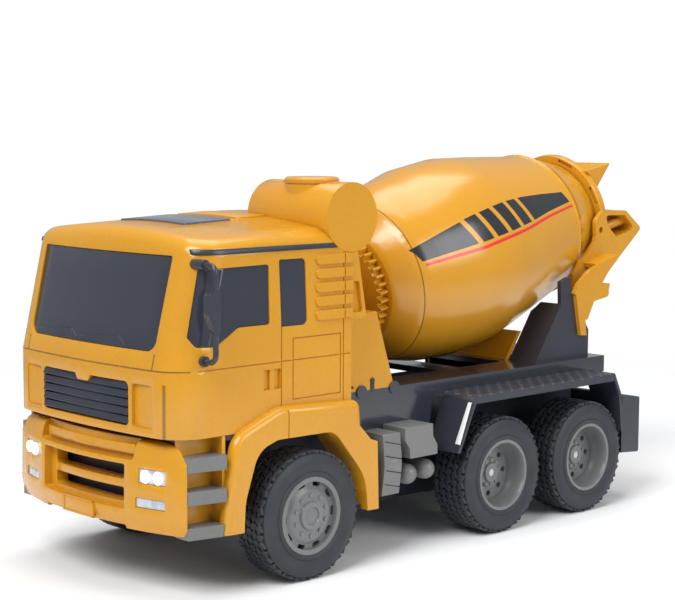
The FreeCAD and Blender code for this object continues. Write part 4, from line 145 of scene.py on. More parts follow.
def soft_disc(centre: Vector, radius: float, length: float, axis: Axis, bevel: float) -> bpy.types.Object:
    """A short round piece with rounded rims.

    Args:
        centre: its middle.
        radius: its radius.
        length: its length along the axis.
        axis: which way it stands.
        bevel: rounding of the rims.

    Returns:
        The piece.
    """
    deselect()
    bpy.ops.mesh.primitive_cylinder_add(vertices=32, radius=radius, depth=length, location=centre,
                                        rotation=axis.value)
    disc = bpy.context.object
    rim = disc.modifiers.new("rim", "BEVEL")
    rim.width, rim.segments, rim.limit_method, rim.angle_limit = bevel, 3, "ANGLE", math.radians(60)
    bpy.ops.object.modifier_apply(modifier=rim.name)
    bpy.ops.object.shade_smooth_by_angle(angle=SMOOTH_ANGLE)
    return disc


def add_piece(piece: bpy.types.Object, body: str, material: bpy.types.Material) -> None:
    """Finish a piece and let it ride on its body.

    Args:
        piece: the modelled piece.
        body: the CAD body it moves with.
        material: its finish.
    """
    piece.data.materials.clear()
    piece.data.materials.append(material)
    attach(piece, body)
    LOG.info("%s rides on %s", piece.name, body)


# ---- finishes --------------------------------------------------------------------------------
class Graph:
    """Small builder for a material's nodes."""

    def __init__(self, name: str) -> None:
        """Start an empty node tree.

        Args:
            name: the material's name.
        """
        self.material = bpy.data.materials.new(name)
        self.material.use_nodes = True
        self.tree = self.material.node_tree
        self.tree.nodes.clear()
        self.place = self.add("ShaderNodeTexCoord").outputs["Object"]

    def add(self, kind: str, **settings: object) -> bpy.types.Node:
        """Add a node and set its properties.

        Args:
            kind: the node's type.
            **settings: properties set on it.

        Returns:
            The node.
        """
        node = self.tree.nodes.new(kind)
        for key, value in settings.items():
            setattr(node, key, value)
        return node

    def feed(self, socket: bpy.types.NodeSocket, value: object) -> None:
        """Link a value or set it on a socket.

        Args:
            socket: the input.
            value: an output socket, a number or a vector.
        """
        if isinstance(value, bpy.types.NodeSocket):
            self.tree.links.new(value, socket)
        else:
            socket.default_value = value

    def maths(self, operation: str, *values: object) -> bpy.types.NodeSocket:
        """A maths node.

        Args:
            operation: its operation.
            *values: its inputs.

        Returns:
            Its output.
        """
        node = self.add("ShaderNodeMath", operation=operation)
        for socket, value in zip(node.inputs, values):
            self.feed(socket, value)
        return node.outputs[0]

    def dot(self, origin: Vector, direction: Vector) -> bpy.types.NodeSocket:
        """Distance from an origin along a direction.

        Args:
            origin: where it is 0.
            direction: a unit vector.

        Returns:
            The distance.
        """
        moved = self.add("ShaderNodeVectorMath", operation="SUBTRACT")
        self.feed(moved.inputs[0], self.place)
        moved.inputs[1].default_value = origin
        node = self.add("ShaderNodeVectorMath", operation="DOT_PRODUCT")
        self.feed(node.inputs[0], moved.outputs[0])
        node.inputs[1].default_value = direction
        return node.outputs["Value"]

    def noise(self, scale: float, detail: float = 4.0, stretch: Vector | None = None) -> bpy.types.NodeSocket:
        """Noise over the object's own coordinates.

        Args:
            scale: its frequency per metre.
            detail: its octaves.
            stretch: factors along the axes, or None.

        Returns:
            Its value, about 0 to 1.
        """
        node = self.add("ShaderNodeTexNoise")
        node.inputs["Scale"].default_value = scale
        node.inputs["Detail"].default_value = detail
        place = self.place
        if stretch is not None:
            mapping = self.add("ShaderNodeMapping")
            mapping.inputs["Scale"].default_value = stretch
            self.feed(mapping.inputs["Vector"], place)
            place = mapping.outputs[0]
        self.feed(node.inputs["Vector"], place)
        return node.outputs[0]

    def ramp(self, value: object, low: float, high: float, start: float = 0.0,
             end: float = 1.0) -> bpy.types.NodeSocket:
        """Clamped linear change of a value.

        Args:
            value: the input.
            low: input that gives start.
            high: input that gives end.
            start: lowest output.
            end: highest output.

        Returns:
            The output.
        """
        node = self.add("ShaderNodeMapRange", clamp=True)
        for socket, item in zip(node.inputs, (value, low, high, start, end)):
            self.feed(socket, item)
        return node.outputs[0]

    def between(self, value: object, low: object, high: object, soft: float) -> bpy.types.NodeSocket:
        """1 where a value lies between two limits, with soft edges.

        Args:
            value: the input.
            low: lower limit.
            high: upper limit.
            soft: width of the edge.

        Returns:
            The mask.
        """
        above = self.ramp(self.maths("SUBTRACT", value, low), -soft, soft)
        below = self.ramp(self.maths("SUBTRACT", high, value), -soft, soft)
        return self.maths("MULTIPLY", above, below)

    def mix(self, factor: object, first: object, second: object) -> bpy.types.NodeSocket:
        """Mix two colours.

        Args:
            factor: how much of the second.
            first: a colour or socket.
            second: a colour or socket.

        Returns:
            The mixed colour.
        """
        node = self.add("ShaderNodeMix", data_type="RGBA", clamp_factor=True)
        self.feed(node.inputs[0], factor)
        for socket, item in ((node.inputs[6], first), (node.inputs[7], second)):
            self.feed(socket, (*item, 1.0) if isinstance(item, tuple) and len(item) == 3 else item)
        return node.outputs[2]

    def bump(self, height: object, distance: float, under: object = None) -> bpy.types.NodeSocket:
        """A bump from a height.

        Args:
            height: its height, 0 to 1.
            distance: depth of the relief in metres.
            under: a normal below it, or None.

        Returns:
            The normal.
        """
        node = self.add("ShaderNodeBump")
        node.inputs["Distance"].default_value = distance
        node.inputs["Strength"].default_value = 1.0
        self.feed(node.inputs["Height"], height)
        if under is not None:
            self.feed(node.inputs["Normal"], under)
        return node.outputs[0]

    def surface(self, **inputs: object) -> bpy.types.Material:
        """Close the graph with a Principled surface.

        Args:
            **inputs: the surface's inputs, with spaces as underscores.

        Returns:
            The material.
        """
        shader = self.add("ShaderNodeBsdfPrincipled")
        for key, value in inputs.items():
            value = (*value, 1.0) if isinstance(value, tuple) and len(value) == 3 else value
            self.feed(shader.inputs[key.replace("_", " ")], value)
        self.feed(self.add("ShaderNodeOutputMaterial").inputs[0], shader.outputs[0])
        return self.material


@dataclass(frozen=True)
class Moulded:
    """Moulded plastic: fine grain, slow drift of tone, and gloss that varies over the skin."""

    name: str
    colour: Colour
    deeper: Colour
    roughness: float = 0.35
    coat: float = 0.25
    grain: float = 0.02 * MM

    def decorate(self, graph: Graph, colour: object, normal: object) -> tuple[object, object]:
        """Hook for finishes that print or emboss something on the plastic.

        Args:
            graph: the material's graph.
            colour: the plastic's colour.
            normal: the plastic's normal.

        Returns:
            The colour and the normal after decoration.
        """
        return colour, normal

    def build(self) -> bpy.types.Material:
        """Make the material.

        Returns:
            The material.
        """
        graph = Graph(self.name)
        drift = graph.ramp(graph.noise(22.0, 3.0), 0.3, 0.7)
        speck = graph.noise(4200.0, 2.0)
        colour = graph.mix(drift, self.colour, self.deeper)
        colour = graph.mix(graph.ramp(speck, 0.55, 0.8, 0.0, 0.12), colour, self.deeper)
        rough = graph.ramp(graph.noise(90.0), 0.3, 0.7, self.roughness * 0.85, self.roughness * 1.15)
        normal = graph.bump(speck, self.grain)
        colour, normal = self.decorate(graph, colour, normal)
        return graph.surface(Base_Color=colour, Roughness=rough, Normal=normal, Coat_Weight=self.coat,
                             Coat_Roughness=0.18, IOR=1.46)


@dataclass(frozen=True)
class Seam:
    """A straight joint line on a flat side, held in one axis and running along another."""

    across: int
    at: float
    along: int
    start: float
    end: float


@dataclass(frozen=True)
class SeamedShell(Moulded):
    """Cab plastic with the fine joints between its mouldings."""

    seams: tuple[Seam, ...] = ()
    front_limit: float = 0.0
    half_width: float = 0.22 * MM
    shade: Colour = (0.16, 0.075, 0.008)

    def decorate(self, graph: Graph, colour: object, normal: object) -> tuple[object, object]:
        """Darken and sink the joints on the cab's front.

        Args:
            graph: the material's graph.
            colour: the plastic's colour.
            normal: the plastic's normal.

        Returns:
            The colour and the normal with joints.
        """
        split = graph.add("ShaderNodeSeparateXYZ")
        graph.feed(split.inputs[0], graph.place)
        total = 0.0
        for seam in self.seams:
            line = graph.between(split.outputs[seam.across], seam.at - self.half_width,
                                 seam.at + self.half_width, 0.12 * MM)
            run = graph.between(split.outputs[seam.along], seam.start, seam.end, 0.1 * MM)
            total = graph.maths("MAXIMUM", total, graph.maths("MULTIPLY", line, run))
        total = graph.maths("MULTIPLY", total, graph.maths("LESS_THAN", split.outputs[1], self.front_limit))
        colour = graph.mix(graph.maths("MULTIPLY", total, 0.75), colour, self.shade)
        return colour, graph.bump(graph.maths("SUBTRACT", 1.0, total), 0.3 * MM, normal)


@dataclass(frozen=True)
class DrumBand(Moulded):
    """Drum plastic with a printed band: plain bars in black over a red stripe."""

    origin: Vector = field(default_factory=Vector)
    along: Vector = field(default_factory=Vector)
    up: Vector = field(default_factory=Vector)
    seam: float = -31.4 * MM
    edge: float = 0.12 * MM
    lean: float = 16 * MM
    stripe_width: float = 0.034
    ink: Colour = (0.012, 0.013, 0.018)
    red: Colour = (0.75, 0.022, 0.012)
    shade: Colour = (0.08, 0.045, 0.01)
    # each bar: start and end along the axis in millimetres, half of its angle at both
    bars: tuple[tuple[float, float, float, float], ...] = (
        (-31.0, -5.0, 0.095, 0.140), (-2.5, 4.0, 0.145, 0.150), (6.5, 13.0, 0.150, 0.155),
        (15.5, 22.0, 0.155, 0.155), (24.5, 31.0, 0.155, 0.150), (33.5, 66.5, 0.150, 0.080))

    def decorate(self, graph: Graph, colour: object, normal: object) -> tuple[object, object]:
        """Print the band on both sides and draw the joint of the two shells.

        Args:
            graph: the material's graph.
            colour: the plastic's colour.
            normal: the plastic's normal.

        Returns:
            The colour with the band, and the normal with the joint.
        """
        station = graph.dot(self.origin, self.along)
        height = graph.dot(self.origin, self.up)
        side = graph.maths("ABSOLUTE", graph.dot(self.origin, Vector((1, 0, 0))))
        angle = graph.maths("ARCTAN2", height, side)
        middle = graph.ramp(station, self.seam, 48 * MM, 0.400, 0.480)
        above = graph.maths("SUBTRACT", angle, middle)
        slanted = graph.maths("ADD", station, graph.maths("MULTIPLY", above, self.lean))
        dark = self.print_bars(graph, station, slanted, graph.maths("ABSOLUTE", above))
        foot = graph.maths("SUBTRACT", graph.ramp(station, self.seam, 0.0, 0.125, 0.185),
                           graph.ramp(station, 30 * MM, 66 * MM, 0.0, 0.06))
        stripe = graph.between(graph.maths("SUBTRACT", middle, angle), foot,
                               graph.maths("ADD", foot, self.stripe_width), 0.002)
        ends = graph.between(slanted, self.bars[0][0] * MM, self.bars[-1][1] * MM, self.edge)
        joint = graph.between(station, self.seam - 0.16 * MM, self.seam + 0.16 * MM, 0.1 * MM)
        colour = graph.mix(dark, colour, self.ink)
        colour = graph.mix(graph.maths("MULTIPLY", stripe, ends), colour, self.red)
        colour = graph.mix(graph.maths("MULTIPLY", joint, 0.8), colour, self.shade)
        return colour, graph.bump(graph.maths("SUBTRACT", 1.0, joint), 0.2 * MM, normal)

    def print_bars(self, graph: Graph, station: object, slanted: object, reach: object) -> object:
        """Mask of the dark bars.

        Args:
            graph: the material's graph.
            station: place along the axis.
            slanted: the same, leaning with the height on the drum.
            reach: angle away from the band's middle.

        Returns:
            The mask.
        """
        mask = 0.0
        for start, end, first, last in self.bars:
            half = graph.ramp(station, start * MM, end * MM, first, last)
            bar = graph.maths("MULTIPLY", graph.between(slanted, start * MM, end * MM, self.edge),
                              graph.maths("LESS_THAN", reach, half))
            mask = graph.maths("MAXIMUM", mask, bar)
        return mask


@dataclass(frozen=True)
class TreadPlate(Moulded):
    """Dark plastic embossed with a tread-plate pattern on its upward faces."""

    top: float = 50 * MM
    pitch: float = 3.2 * MM
    glint: Colour = (0.2, 0.21, 0.24)

    def decorate(self, graph: Graph, colour: object, normal: object) -> tuple[object, object]:
        """Emboss short crossed ribs on the top face and paint them paler as a painted highlight.

        Args:
            graph: the material's graph.
            colour: the plastic's colour.
            normal: the plastic's normal.

        Returns:
            The colour and the embossed normal.
        """
        split = graph.add("ShaderNodeSeparateXYZ")
        graph.feed(split.inputs[0], graph.place)
        diagonals = []
        for sign in (1.0, -1.0):
            run = graph.maths("ADD", split.outputs[0], graph.maths("MULTIPLY", split.outputs[1], sign))
            cross = graph.maths("SUBTRACT", split.outputs[0], graph.maths("MULTIPLY", split.outputs[1], sign))
            rib = graph.maths("PINGPONG", graph.maths("DIVIDE", run, self.pitch), 1.0)
            dash = graph.maths("PINGPONG", graph.maths("DIVIDE", cross, self.pitch), 1.0)
            ridge = graph.maths("MULTIPLY", graph.ramp(rib, 0.70, 0.88), graph.ramp(dash, 0.25, 0.45))
            diagonals.append(ridge)
        ribs = graph.maths("MAXIMUM", diagonals[0], diagonals[1])
        ribs = graph.maths("MULTIPLY", ribs, graph.maths("GREATER_THAN", split.outputs[2], self.top))
        # painted highlight: the ribs are mixed towards the paler glint grey
        colour = graph.mix(graph.maths("MULTIPLY", ribs, 0.35), colour, self.glint)
        return colour, graph.bump(ribs, 0.5 * MM, normal)


@dataclass(frozen=True)
class Speckled(Moulded):
    """Grey plastic with pale specks all over, as on anti-slip steps."""

    pale: Colour = (0.36, 0.36, 0.35)

    def decorate(self, graph: Graph, colour: object, normal: object) -> tuple[object, object]:
        """Lay pale specks over the colour.

        Args:
            graph: the material's graph.
            colour: the plastic's colour.
            normal: the plastic's normal.

        Returns:
            The speckled colour and a rougher normal.
        """
        specks = graph.ramp(graph.noise(2600.0, 2.0), 0.5, 0.62)
        colour = graph.mix(graph.maths("MULTIPLY", specks, 0.16), colour, self.pale)
        return colour, graph.bump(specks, 0.08 * MM, normal)


@dataclass(frozen=True)
class Rubber:
    """Tyre rubber: dark, dull, a little dusty."""

    name: str = "tyre_rubber"
    colour: Colour = (0.019, 0.022, 0.031)
    dusty: Colour = (0.050, 0.053, 0.062)

    def build(self) -> bpy.types.Material:
        """Make the material.

        Returns:
            The material.
        """
        graph = Graph(self.name)
        dust = graph.ramp(graph.noise(160.0, 5.0), 0.4, 0.75)
        fine = graph.noise(3800.0, 2.0)
        colour = graph.mix(graph.maths("MULTIPLY", dust, 0.35), self.colour, self.dusty)
        return graph.surface(Base_Color=colour, Roughness=graph.ramp(fine, 0.3, 0.7, 0.48, 0.62),
                             Normal=graph.bump(fine, 0.03 * MM), IOR=1.5)


@dataclass(frozen=True)
class Metal:
    """Drawn or turned steel with fine lines."""

    name: str
    colour: Colour = (0.62, 0.62, 0.63)
    roughness: float = 0.3

    def build(self) -> bpy.types.Material:
        """Make the material.

        Returns:
            The material.
        """
        graph = Graph(self.name)
        lines = graph.noise(900.0, 3.0, Vector((1.0, 0.05, 1.0)))
        rough = graph.ramp(lines, 0.3, 0.7, self.roughness * 0.8, self.roughness * 1.3)
        return graph.surface(Base_Color=self.colour, Metallic=1.0, Roughness=rough,
                             Normal=graph.bump(lines, 0.01 * MM))


@dataclass(frozen=True)
class Lens:
    """Moulded lens, lit from behind where it glows."""

    name: str
    colour: Colour
    glow: float = 0.0
    ribs: float = 900.0

    def build(self) -> bpy.types.Material:
        """Make the material.

        Returns:
            The material.
        """
        graph = Graph(self.name)
        flutes = graph.noise(self.ribs, 2.0, Vector((1.0, 1.0, 0.25)))
        deeper = tuple(0.72 * part for part in self.colour)
        tone = graph.mix(graph.ramp(flutes, 0.35, 0.65), self.colour, deeper)
        return graph.surface(Base_Color=tone, Roughness=0.12, Coat_Weight=0.6,
                             Normal=graph.bump(flutes, 0.1 * MM), Emission_Color=tone,
                             Emission_Strength=self.glow)


# ---- the palette -----------------------------------------------------------------------------
class Palette:
    """Every finish of the truck, built once."""

    YELLOW: Colour = (0.665, 0.310, 0.012)
    AMBER: Colour = (0.615, 0.278, 0.010)
    DARK: Colour = (0.034, 0.037, 0.052)
    DARKER: Colour = (0.027, 0.030, 0.043)
    GREY: Colour = (0.185, 0.188, 0.182)
    GREYER: Colour = (0.150, 0.153, 0.149)

    def __init__(self, drum: dict, centre_x: float) -> None:
        """Build all finishes.

        Args:
            drum: the record's joint of the drum, for the band's axis.
            centre_x: the truck's centre plane.
        """
        yellow, dark, grey = (self.YELLOW, self.AMBER), (self.DARK, self.DARKER), (self.GREY, self.GREYER)
        along = Vector(drum["axis"])
        up = Vector((0, -along.z, along.y))
        guard_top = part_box("rear_mudguards")[1][2] - 0.6 * MM
        finishes = (
            SeamedShell("cab_yellow", *yellow, 0.27, 0.35, seams=self.cab_seams(centre_x),
                        front_limit=-122 * MM),
            Moulded("shell_yellow", *yellow, 0.27, 0.35),
            DrumBand("drum_yellow", *yellow, 0.24, 0.6, origin=Vector(drum["pos_m"]), along=along, up=up),
            Moulded("trim_dark", *dark, 0.36, 0.2),
            Moulded("deck_dark", (0.028, 0.031, 0.042), self.DARKER, 0.10, 0.9, 0.005 * MM),
            TreadPlate("guard_dark", *dark, 0.34, 0.15, top=guard_top),
            Moulded("glass_dark", (0.034, 0.038, 0.052), (0.029, 0.033, 0.046), 0.12, 0.5, 0.002 * MM),
            Moulded("box_grey", *grey, 0.38, 0.2),
            Speckled("step_grey", *grey, 0.42, 0.15),
            Moulded("hatch_grey", (0.105, 0.115, 0.145), (0.085, 0.095, 0.125), 0.16, 0.8),
            # rim grey: partly the rim's own grey, partly painted shade for the deep dish that the CAD rim lacks
            Moulded("rim_grey", (0.175, 0.180, 0.182), (0.140, 0.145, 0.148), 0.34, 0.3),
            Moulded("white_plastic", (0.78, 0.78, 0.75), (0.7, 0.7, 0.67), 0.4, 0.2),
            Moulded("wrap_blue", (0.03, 0.1, 0.4), (0.02, 0.08, 0.33), 0.25, 0.5),
            Moulded("board_green", (0.02, 0.2, 0.06), (0.015, 0.15, 0.05), 0.35, 0.4),
            # painted highlight: near-white finish for the strips that stand in for light caught on the
            # mudguards' edge chamfers
            Moulded("painted_edge_highlight", (0.82, 0.83, 0.85), (0.76, 0.77, 0.80), 0.25, 0.4),
            Rubber(), Metal("steel"),
            Lens("lens_clear", (0.46, 0.49, 0.53), 0.25, 500.0), Lens("lens_red", (0.5, 0.02, 0.012)),
            Lens("lamp_glow", (1.0, 0.99, 0.96), 2.6, 1600.0),
        )
        self.made = {finish.name: finish.build() for finish in finishes}
        LOG.info("finishes: %d", len(self.made))

    @staticmethod
    def cab_seams(centre_x: float) -> tuple[Seam, ...]:
        """Joints between the cab's mouldings.

        Args:
            centre_x: the truck's centre plane.

        Returns:
            The joint under the windscreen, its two short uprights and the one behind the front corner.
        """
        belt, half, post, corner = 79.4 * MM, 49 * MM, 37.5 * MM, -138.6 * MM
        uprights = [Seam(0, centre_x + sign * post, 2, belt - 0.2 * MM, belt + 5.5 * MM) for sign in (1, -1)]
        return (Seam(2, belt, 0, centre_x - half, centre_x + half), *uprights,
                Seam(1, corner, 2, 42 * MM, belt - 4.5 * MM))

    def __getitem__(self, name: str) -> bpy.types.Material:
        """Look a finish up.

        Args:
            name: the finish's name.

        Returns:
            Its material.
        """
        return self.made[name]


# ---- the CAD nodes ---------------------------------------------------------------------------
@dataclass
class Dresser:
    """Gives the CAD nodes their finishes and softens their edges."""

    palette: Palette
    edge: float = 0.28 * MM

    BY_SLOT: ClassVar[dict[str, str]] = {
        "shell_yellow": "shell_yellow", "drum_yellow": "drum_yellow", "trim_dark": "trim_dark",
        "deck_dark": "deck_dark", "box_grey": "box_grey", "hatch_grey": "hatch_grey",
        "glass_dark": "glass_dark", "tank_cap": "shell_yellow", "lamp_clear": "lens_clear",
        "lamp_red": "lens_red", "tyre": "tyre_rubber", "rim_grey": "rim_grey", "pin_steel": "steel",
        "gear_white": "white_plastic", "motor_can": "steel", "servo_case": "trim_dark",
        "battery_wrap": "wrap_blue", "board_green": "board_green"}
    BY_NODE: ClassVar[dict[str, str]] = {"cab_shell": "cab_yellow", "steps": "step_grey",
                                         "rear_mudguards": "guard_dark"}

    def build(self) -> None:
        """Finish every node and round its sharp edges."""
        slots = {part["node"]: part["material_slot"] for part in frame["record"]["subparts"]}
        for name, node in frame["nodes"].items():
            finish = self.BY_NODE.get(name, self.BY_SLOT[slots[name]])
            node.data.materials.clear()
            node.data.materials.append(self.palette[finish])
            weld = node.modifiers.new("weld", "WELD")
            weld.merge_threshold = 0.004 * MM
            soft = node.modifiers.new("edges", "BEVEL")
            soft.width, soft.segments, soft.limit_method = self.edge, 2, "ANGLE"
            soft.angle_limit = math.radians(38)
            soft.use_clamp_overlap, soft.harden_normals = True, True
            LOG.info("%s: %s", name, finish)


# ---- tyres -----------------------------------------------------------------------------------
@dataclass
class Tyre:
    """One tyre: lathed carcass and ribs of slanted tread blocks."""

    axle: Vector
    inner: float
    outer: float
    radius: float
    bead: float = 13.6 * MM
    tread: float = 1.1 * MM
    shoulder: float = 1.3 * MM
    lean: float = math.radians(24)
    rows: int = 5
    blocks: int = 46

    def rings(self) -> list[tuple[float, float]]:
        """Rings of the carcass, from the inner bead over the tread's floor to the outer bead.

        Returns:
            (place along the axle, radius) of each ring.
        """
        sign = 1.0 if self.outer > 0 else -1.0
        floor = self.radius - self.tread
        crown = [(0.3, self.radius - 2.6 * MM), (1.0, floor - 0.2 * MM), (1.9, floor)]
        back = [(0.9, self.bead), (0.35, self.bead + 3.0 * MM), (0.0, self.bead + 5.0 * MM)]
        face = [(0.6, self.bead), (0.35, self.bead + 1.2 * MM), (0.0, self.bead + 1.7 * MM),
                (0.0, self.bead + 2.3 * MM), (0.35, self.bead + 2.6 * MM), (0.1, self.bead + 4.4 * MM),
                (0.0, self.bead + 5.6 * MM)]
        near = [(self.inner + sign * depth * MM, radius) for depth, radius in back + crown]
        far = [(self.outer - sign * depth * MM, radius) for depth, radius in face + crown]
        return near + far[::-1]

    def carcass(self) -> bpy.types.Object:
        """Draw the carcass ring by ring from one bead to the other.

        Returns:
            The carcass.
        """
        deselect()
        rings = self.rings()
        start_x, start_r = rings[0]
        bpy.ops.mesh.primitive_circle_add(vertices=112, radius=start_r, fill_type="NOTHING",
                                          rotation=Axis.X.value, location=(start_x, self.axle.y, self.axle.z))
        carcass = bpy.context.object
        bpy.ops.object.transform_apply(location=True, rotation=True)
        bpy.ops.object.mode_set(mode="EDIT")
        bpy.ops.mesh.select_all(action="SELECT")
        for (x, r), (next_x, next_r) in zip(rings, rings[1:]):
            bpy.ops.mesh.extrude_region_move(TRANSFORM_OT_translate={"value": (next_x - x, 0, 0)})
            bpy.ops.transform.resize(value=(1, next_r / r, next_r / r),
                                     center_override=(next_x, self.axle.y, self.axle.z))
        bpy.ops.mesh.select_all(action="SELECT")
        bpy.ops.mesh.remove_doubles(threshold=0.005 * MM)
        bpy.ops.mesh.normals_make_consistent(inside=False)
        bpy.ops.object.mode_set(mode="OBJECT")
        bpy.ops.object.shade_smooth_by_angle(angle=math.radians(40))
        return carcass

    def place(self, x: float, angle: float, lean: float) -> Matrix:
        """Where a tread block stands.

        Args:
            x: its place along the axle.
            angle: its place round the tyre.
            lean: how far it slants.

        Returns:
            Its matrix.
        """
        turn = Matrix.Rotation(angle, 3, "X")
        middle = turn @ Vector((x, 0, self.radius - self.tread * 0.6))
        return Matrix.Translation(self.axle + middle) @ (turn @ Matrix.Rotation(lean, 3, "Z")).to_4x4()

    def tread_blocks(self) -> list[bpy.types.Object]:
        """Ribs of blocks that lean to and fro, as copies of one block.

        Returns:
            The blocks.
        """
        pitch = (abs(self.outer - self.inner) - 2 * self.shoulder) / self.rows
        length = 2 * math.pi * self.radius / self.blocks
        start = min(self.inner, self.outer) + self.shoulder
        block = soft_block(Vector(), Vector((pitch * 0.86, length * 0.9, self.tread * 1.2)), 0.22 * MM)
        blocks = []
        for row in range(self.rows):
            for index in range(self.blocks):
                copy = bpy.data.objects.new("block", block.data) if blocks else block
                if blocks:
                    bpy.context.collection.objects.link(copy)
                lean = self.lean if (index + row) % 2 else -self.lean
                angle = 2 * math.pi * (index + 0.25 * row) / self.blocks
                copy.matrix_world = self.place(start + pitch * (row + 0.5), angle, lean)
                blocks.append(copy)
        return blocks

    def build(self, name: str) -> bpy.types.Object:
        """Build the tyre.

        Args:
            name: the piece's name.

        Returns:
            The tyre.
        """
        pieces = [self.carcass(), *self.tread_blocks()]
        LOG.info("%s: %d pieces of tread", name, len(pieces) - 1)
        return join_copies(pieces, name)


def join_copies(pieces: list[bpy.types.Object], name: str) -> bpy.types.Object:
    """Join objects that may share one mesh.

    Args:
        pieces: the objects.
        name: the joined piece's name.

    Returns:
        The joined piece.
    """
    deselect()
    for piece in pieces:
        piece.select_set(True)
    bpy.context.view_layer.objects.active = pieces[0]
    bpy.ops.object.make_single_user(object=True, obdata=True)
    return join(pieces, name)


@dataclass
class Wheels:
    """All tyres, each in place of its CAD node."""

    palette: Palette
    rear_width: float = 18.5 * MM

    def tyre(self, node: str, left: bool, width: float) -> Tyre:
        """Size a tyre after its CAD node.

        Args:
            node: the CAD node.
            left: True for the tyre on the truck's left.
            width: the tyre's width.

        Returns:
            The tyre's sizes.
        """
        low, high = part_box(node)
        radius = (high[2] - low[2]) / 2
        outer = high[0] if left else low[0]
        inner = outer - width if left else outer + width
        axle = Vector((0, (low[1] + high[1]) / 2, (low[2] + high[2]) / 2))
        return Tyre(axle, inner, outer, radius)

    def build(self) -> None:
        """Build all tyres."""
        rubber = self.palette["tyre_rubber"]
        for side in ("left", "right"):
            node = f"front_tyre_{side}"
            low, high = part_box(node)
            piece = self.tyre(node, side == "left", high[0] - low[0]).build(f"tyre_front_{side}")
            add_piece(piece, f"wheel_{side}", rubber)
            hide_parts(node)
        for axle in (1, 2):
            node = f"rear_tyres_{axle}"
            pair = [self.tyre(node, left, self.rear_width).build(f"tyre_{axle}") for left in (True, False)]
            piece = join(pair, f"tyres_rear_{axle}")
            add_piece(piece, f"axle_{axle}", rubber)
            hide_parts(node)


# ---- trim ------------------------------------------------------------------------------------
@dataclass
class Wipers:
    """Two wipers resting at the foot of the windscreen."""

    palette: Palette
    lean: float = math.radians(13)
    thick: float = 1.0 * MM
    glass_radius: float = 350 * MM
    foot: float = 2.6 * MM
    middles: tuple[float, float] = (-19 * MM, 9 * MM)
    # each point of a wiper: x from its middle, height up the glass
    tip: tuple[float, float] = (-14 * MM, 1.6 * MM)
    bend: tuple[float, float] = (8 * MM, 3.4 * MM)
    root: tuple[float, float] = (13 * MM, 0.2 * MM)

    def build(self) -> None:
        """Build both wipers on the glass, each as a long blade and a short bent arm."""
        low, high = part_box("windscreen")
        centre = (low[0] + high[0]) / 2
        rods = []
        for middle in self.middles:
            points = [self.on_glass(middle + x, up, low, centre) for x, up in (self.tip, self.bend, self.root)]
            rods += [self.bar(start, end) for start, end in zip(points, points[1:])]
        add_piece(join(rods, "wipers"), "chassis", self.palette["trim_dark"])

    def on_glass(self, across: float, up: float, low: tuple[float, float, float], centre: float) -> Vector:
        """A point on the curved, leaning glass.

        Args:
            across: its distance from the centre plane.
            up: its height up the glass.
            low: lowest corner of the glass.
            centre: the truck's centre plane.

        Returns:
            The point.
        """
        rise = self.foot + up * math.cos(self.lean)
        bow = across ** 2 / (2 * self.glass_radius)
        return Vector((centre + across, low[1] + bow + rise * math.tan(self.lean) - 0.1 * MM, low[2] + rise))

    def bar(self, start: Vector, end: Vector) -> bpy.types.Object:
        """A thin square bar between two points.

        Args:
            start: one end.
            end: the other end.

        Returns:
            The bar.
        """
        way = end - start
        turn = way.to_track_quat("X", "Z").to_matrix()
        size = Vector((way.length, self.thick, self.thick))
        return soft_block((start + end) / 2, size, 0.15 * MM, turn)


@dataclass
class Lamps:
    """Round lights inside the head lamps."""

    palette: Palette
    radius: float = 2.2 * MM
    below_top: float = 2.65 * MM
    reaches: tuple[float, float] = (33.6 * MM, 38.9 * MM)
    bumper_radius: float = 144 * MM
    lamp_start: float = 30.6 * MM

    def build(self) -> None:
        """Set two round lights in each head lamp."""
        low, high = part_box("front_lamps")
        centre = (low[0] + high[0]) / 2
        lights = []
        for sign in (1, -1):
            for reach in self.reaches:
                face = self.bow(reach) - self.bow(self.lamp_start) + 0.2 * MM
                spot = Vector((centre + sign * reach, low[1] + face, high[2] - self.below_top))
                lights.append(soft_disc(spot, self.radius, 1.0 * MM, Axis.Y, 0.3 * MM))
        add_piece(join(lights, "head_lights"), "chassis", self.palette["lamp_glow"])

    def bow(self, reach: float) -> float:
        """How far the bumper's bow has gone back.

        Args:
            reach: distance from the centre plane.

        Returns:
            The offset along Y.
        """
        return self.bumper_radius - math.sqrt(self.bumper_radius ** 2 - reach ** 2)


@dataclass
class GuardGlints:
    """Painted highlights: near-white strips standing in for light caught by the chamfers on the outer edges of
    the mudguards' front slopes.
    """

    palette: Palette
    foot: Vector = field(default_factory=lambda: Vector((0, -6.05, 35.9)) * MM)
    top: Vector = field(default_factory=lambda: Vector((0, 4.25, 57.6)) * MM)
    wide: float = 1.9 * MM
    share: float = 0.72

    def build(self) -> None:
        """Lay one painted-highlight strip along each slope's outer edge."""
        low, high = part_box("rear_mudguards")
        way = self.top - self.foot
        turn = way.to_track_quat("Z", "X").to_matrix()
        size = Vector((self.wide, self.wide, way.length * self.share))
        strips = []
        for x in (high[0] - self.wide / 2, low[0] + self.wide / 2):
            middle = (self.foot + self.top) / 2 + Vector((x, -0.30 * MM, 0.15 * MM))
            strips.append(soft_block(middle, size, 0.2 * MM, turn))
        add_piece(join(strips, "guard_glints"), "chassis", self.palette["painted_edge_highlight"])


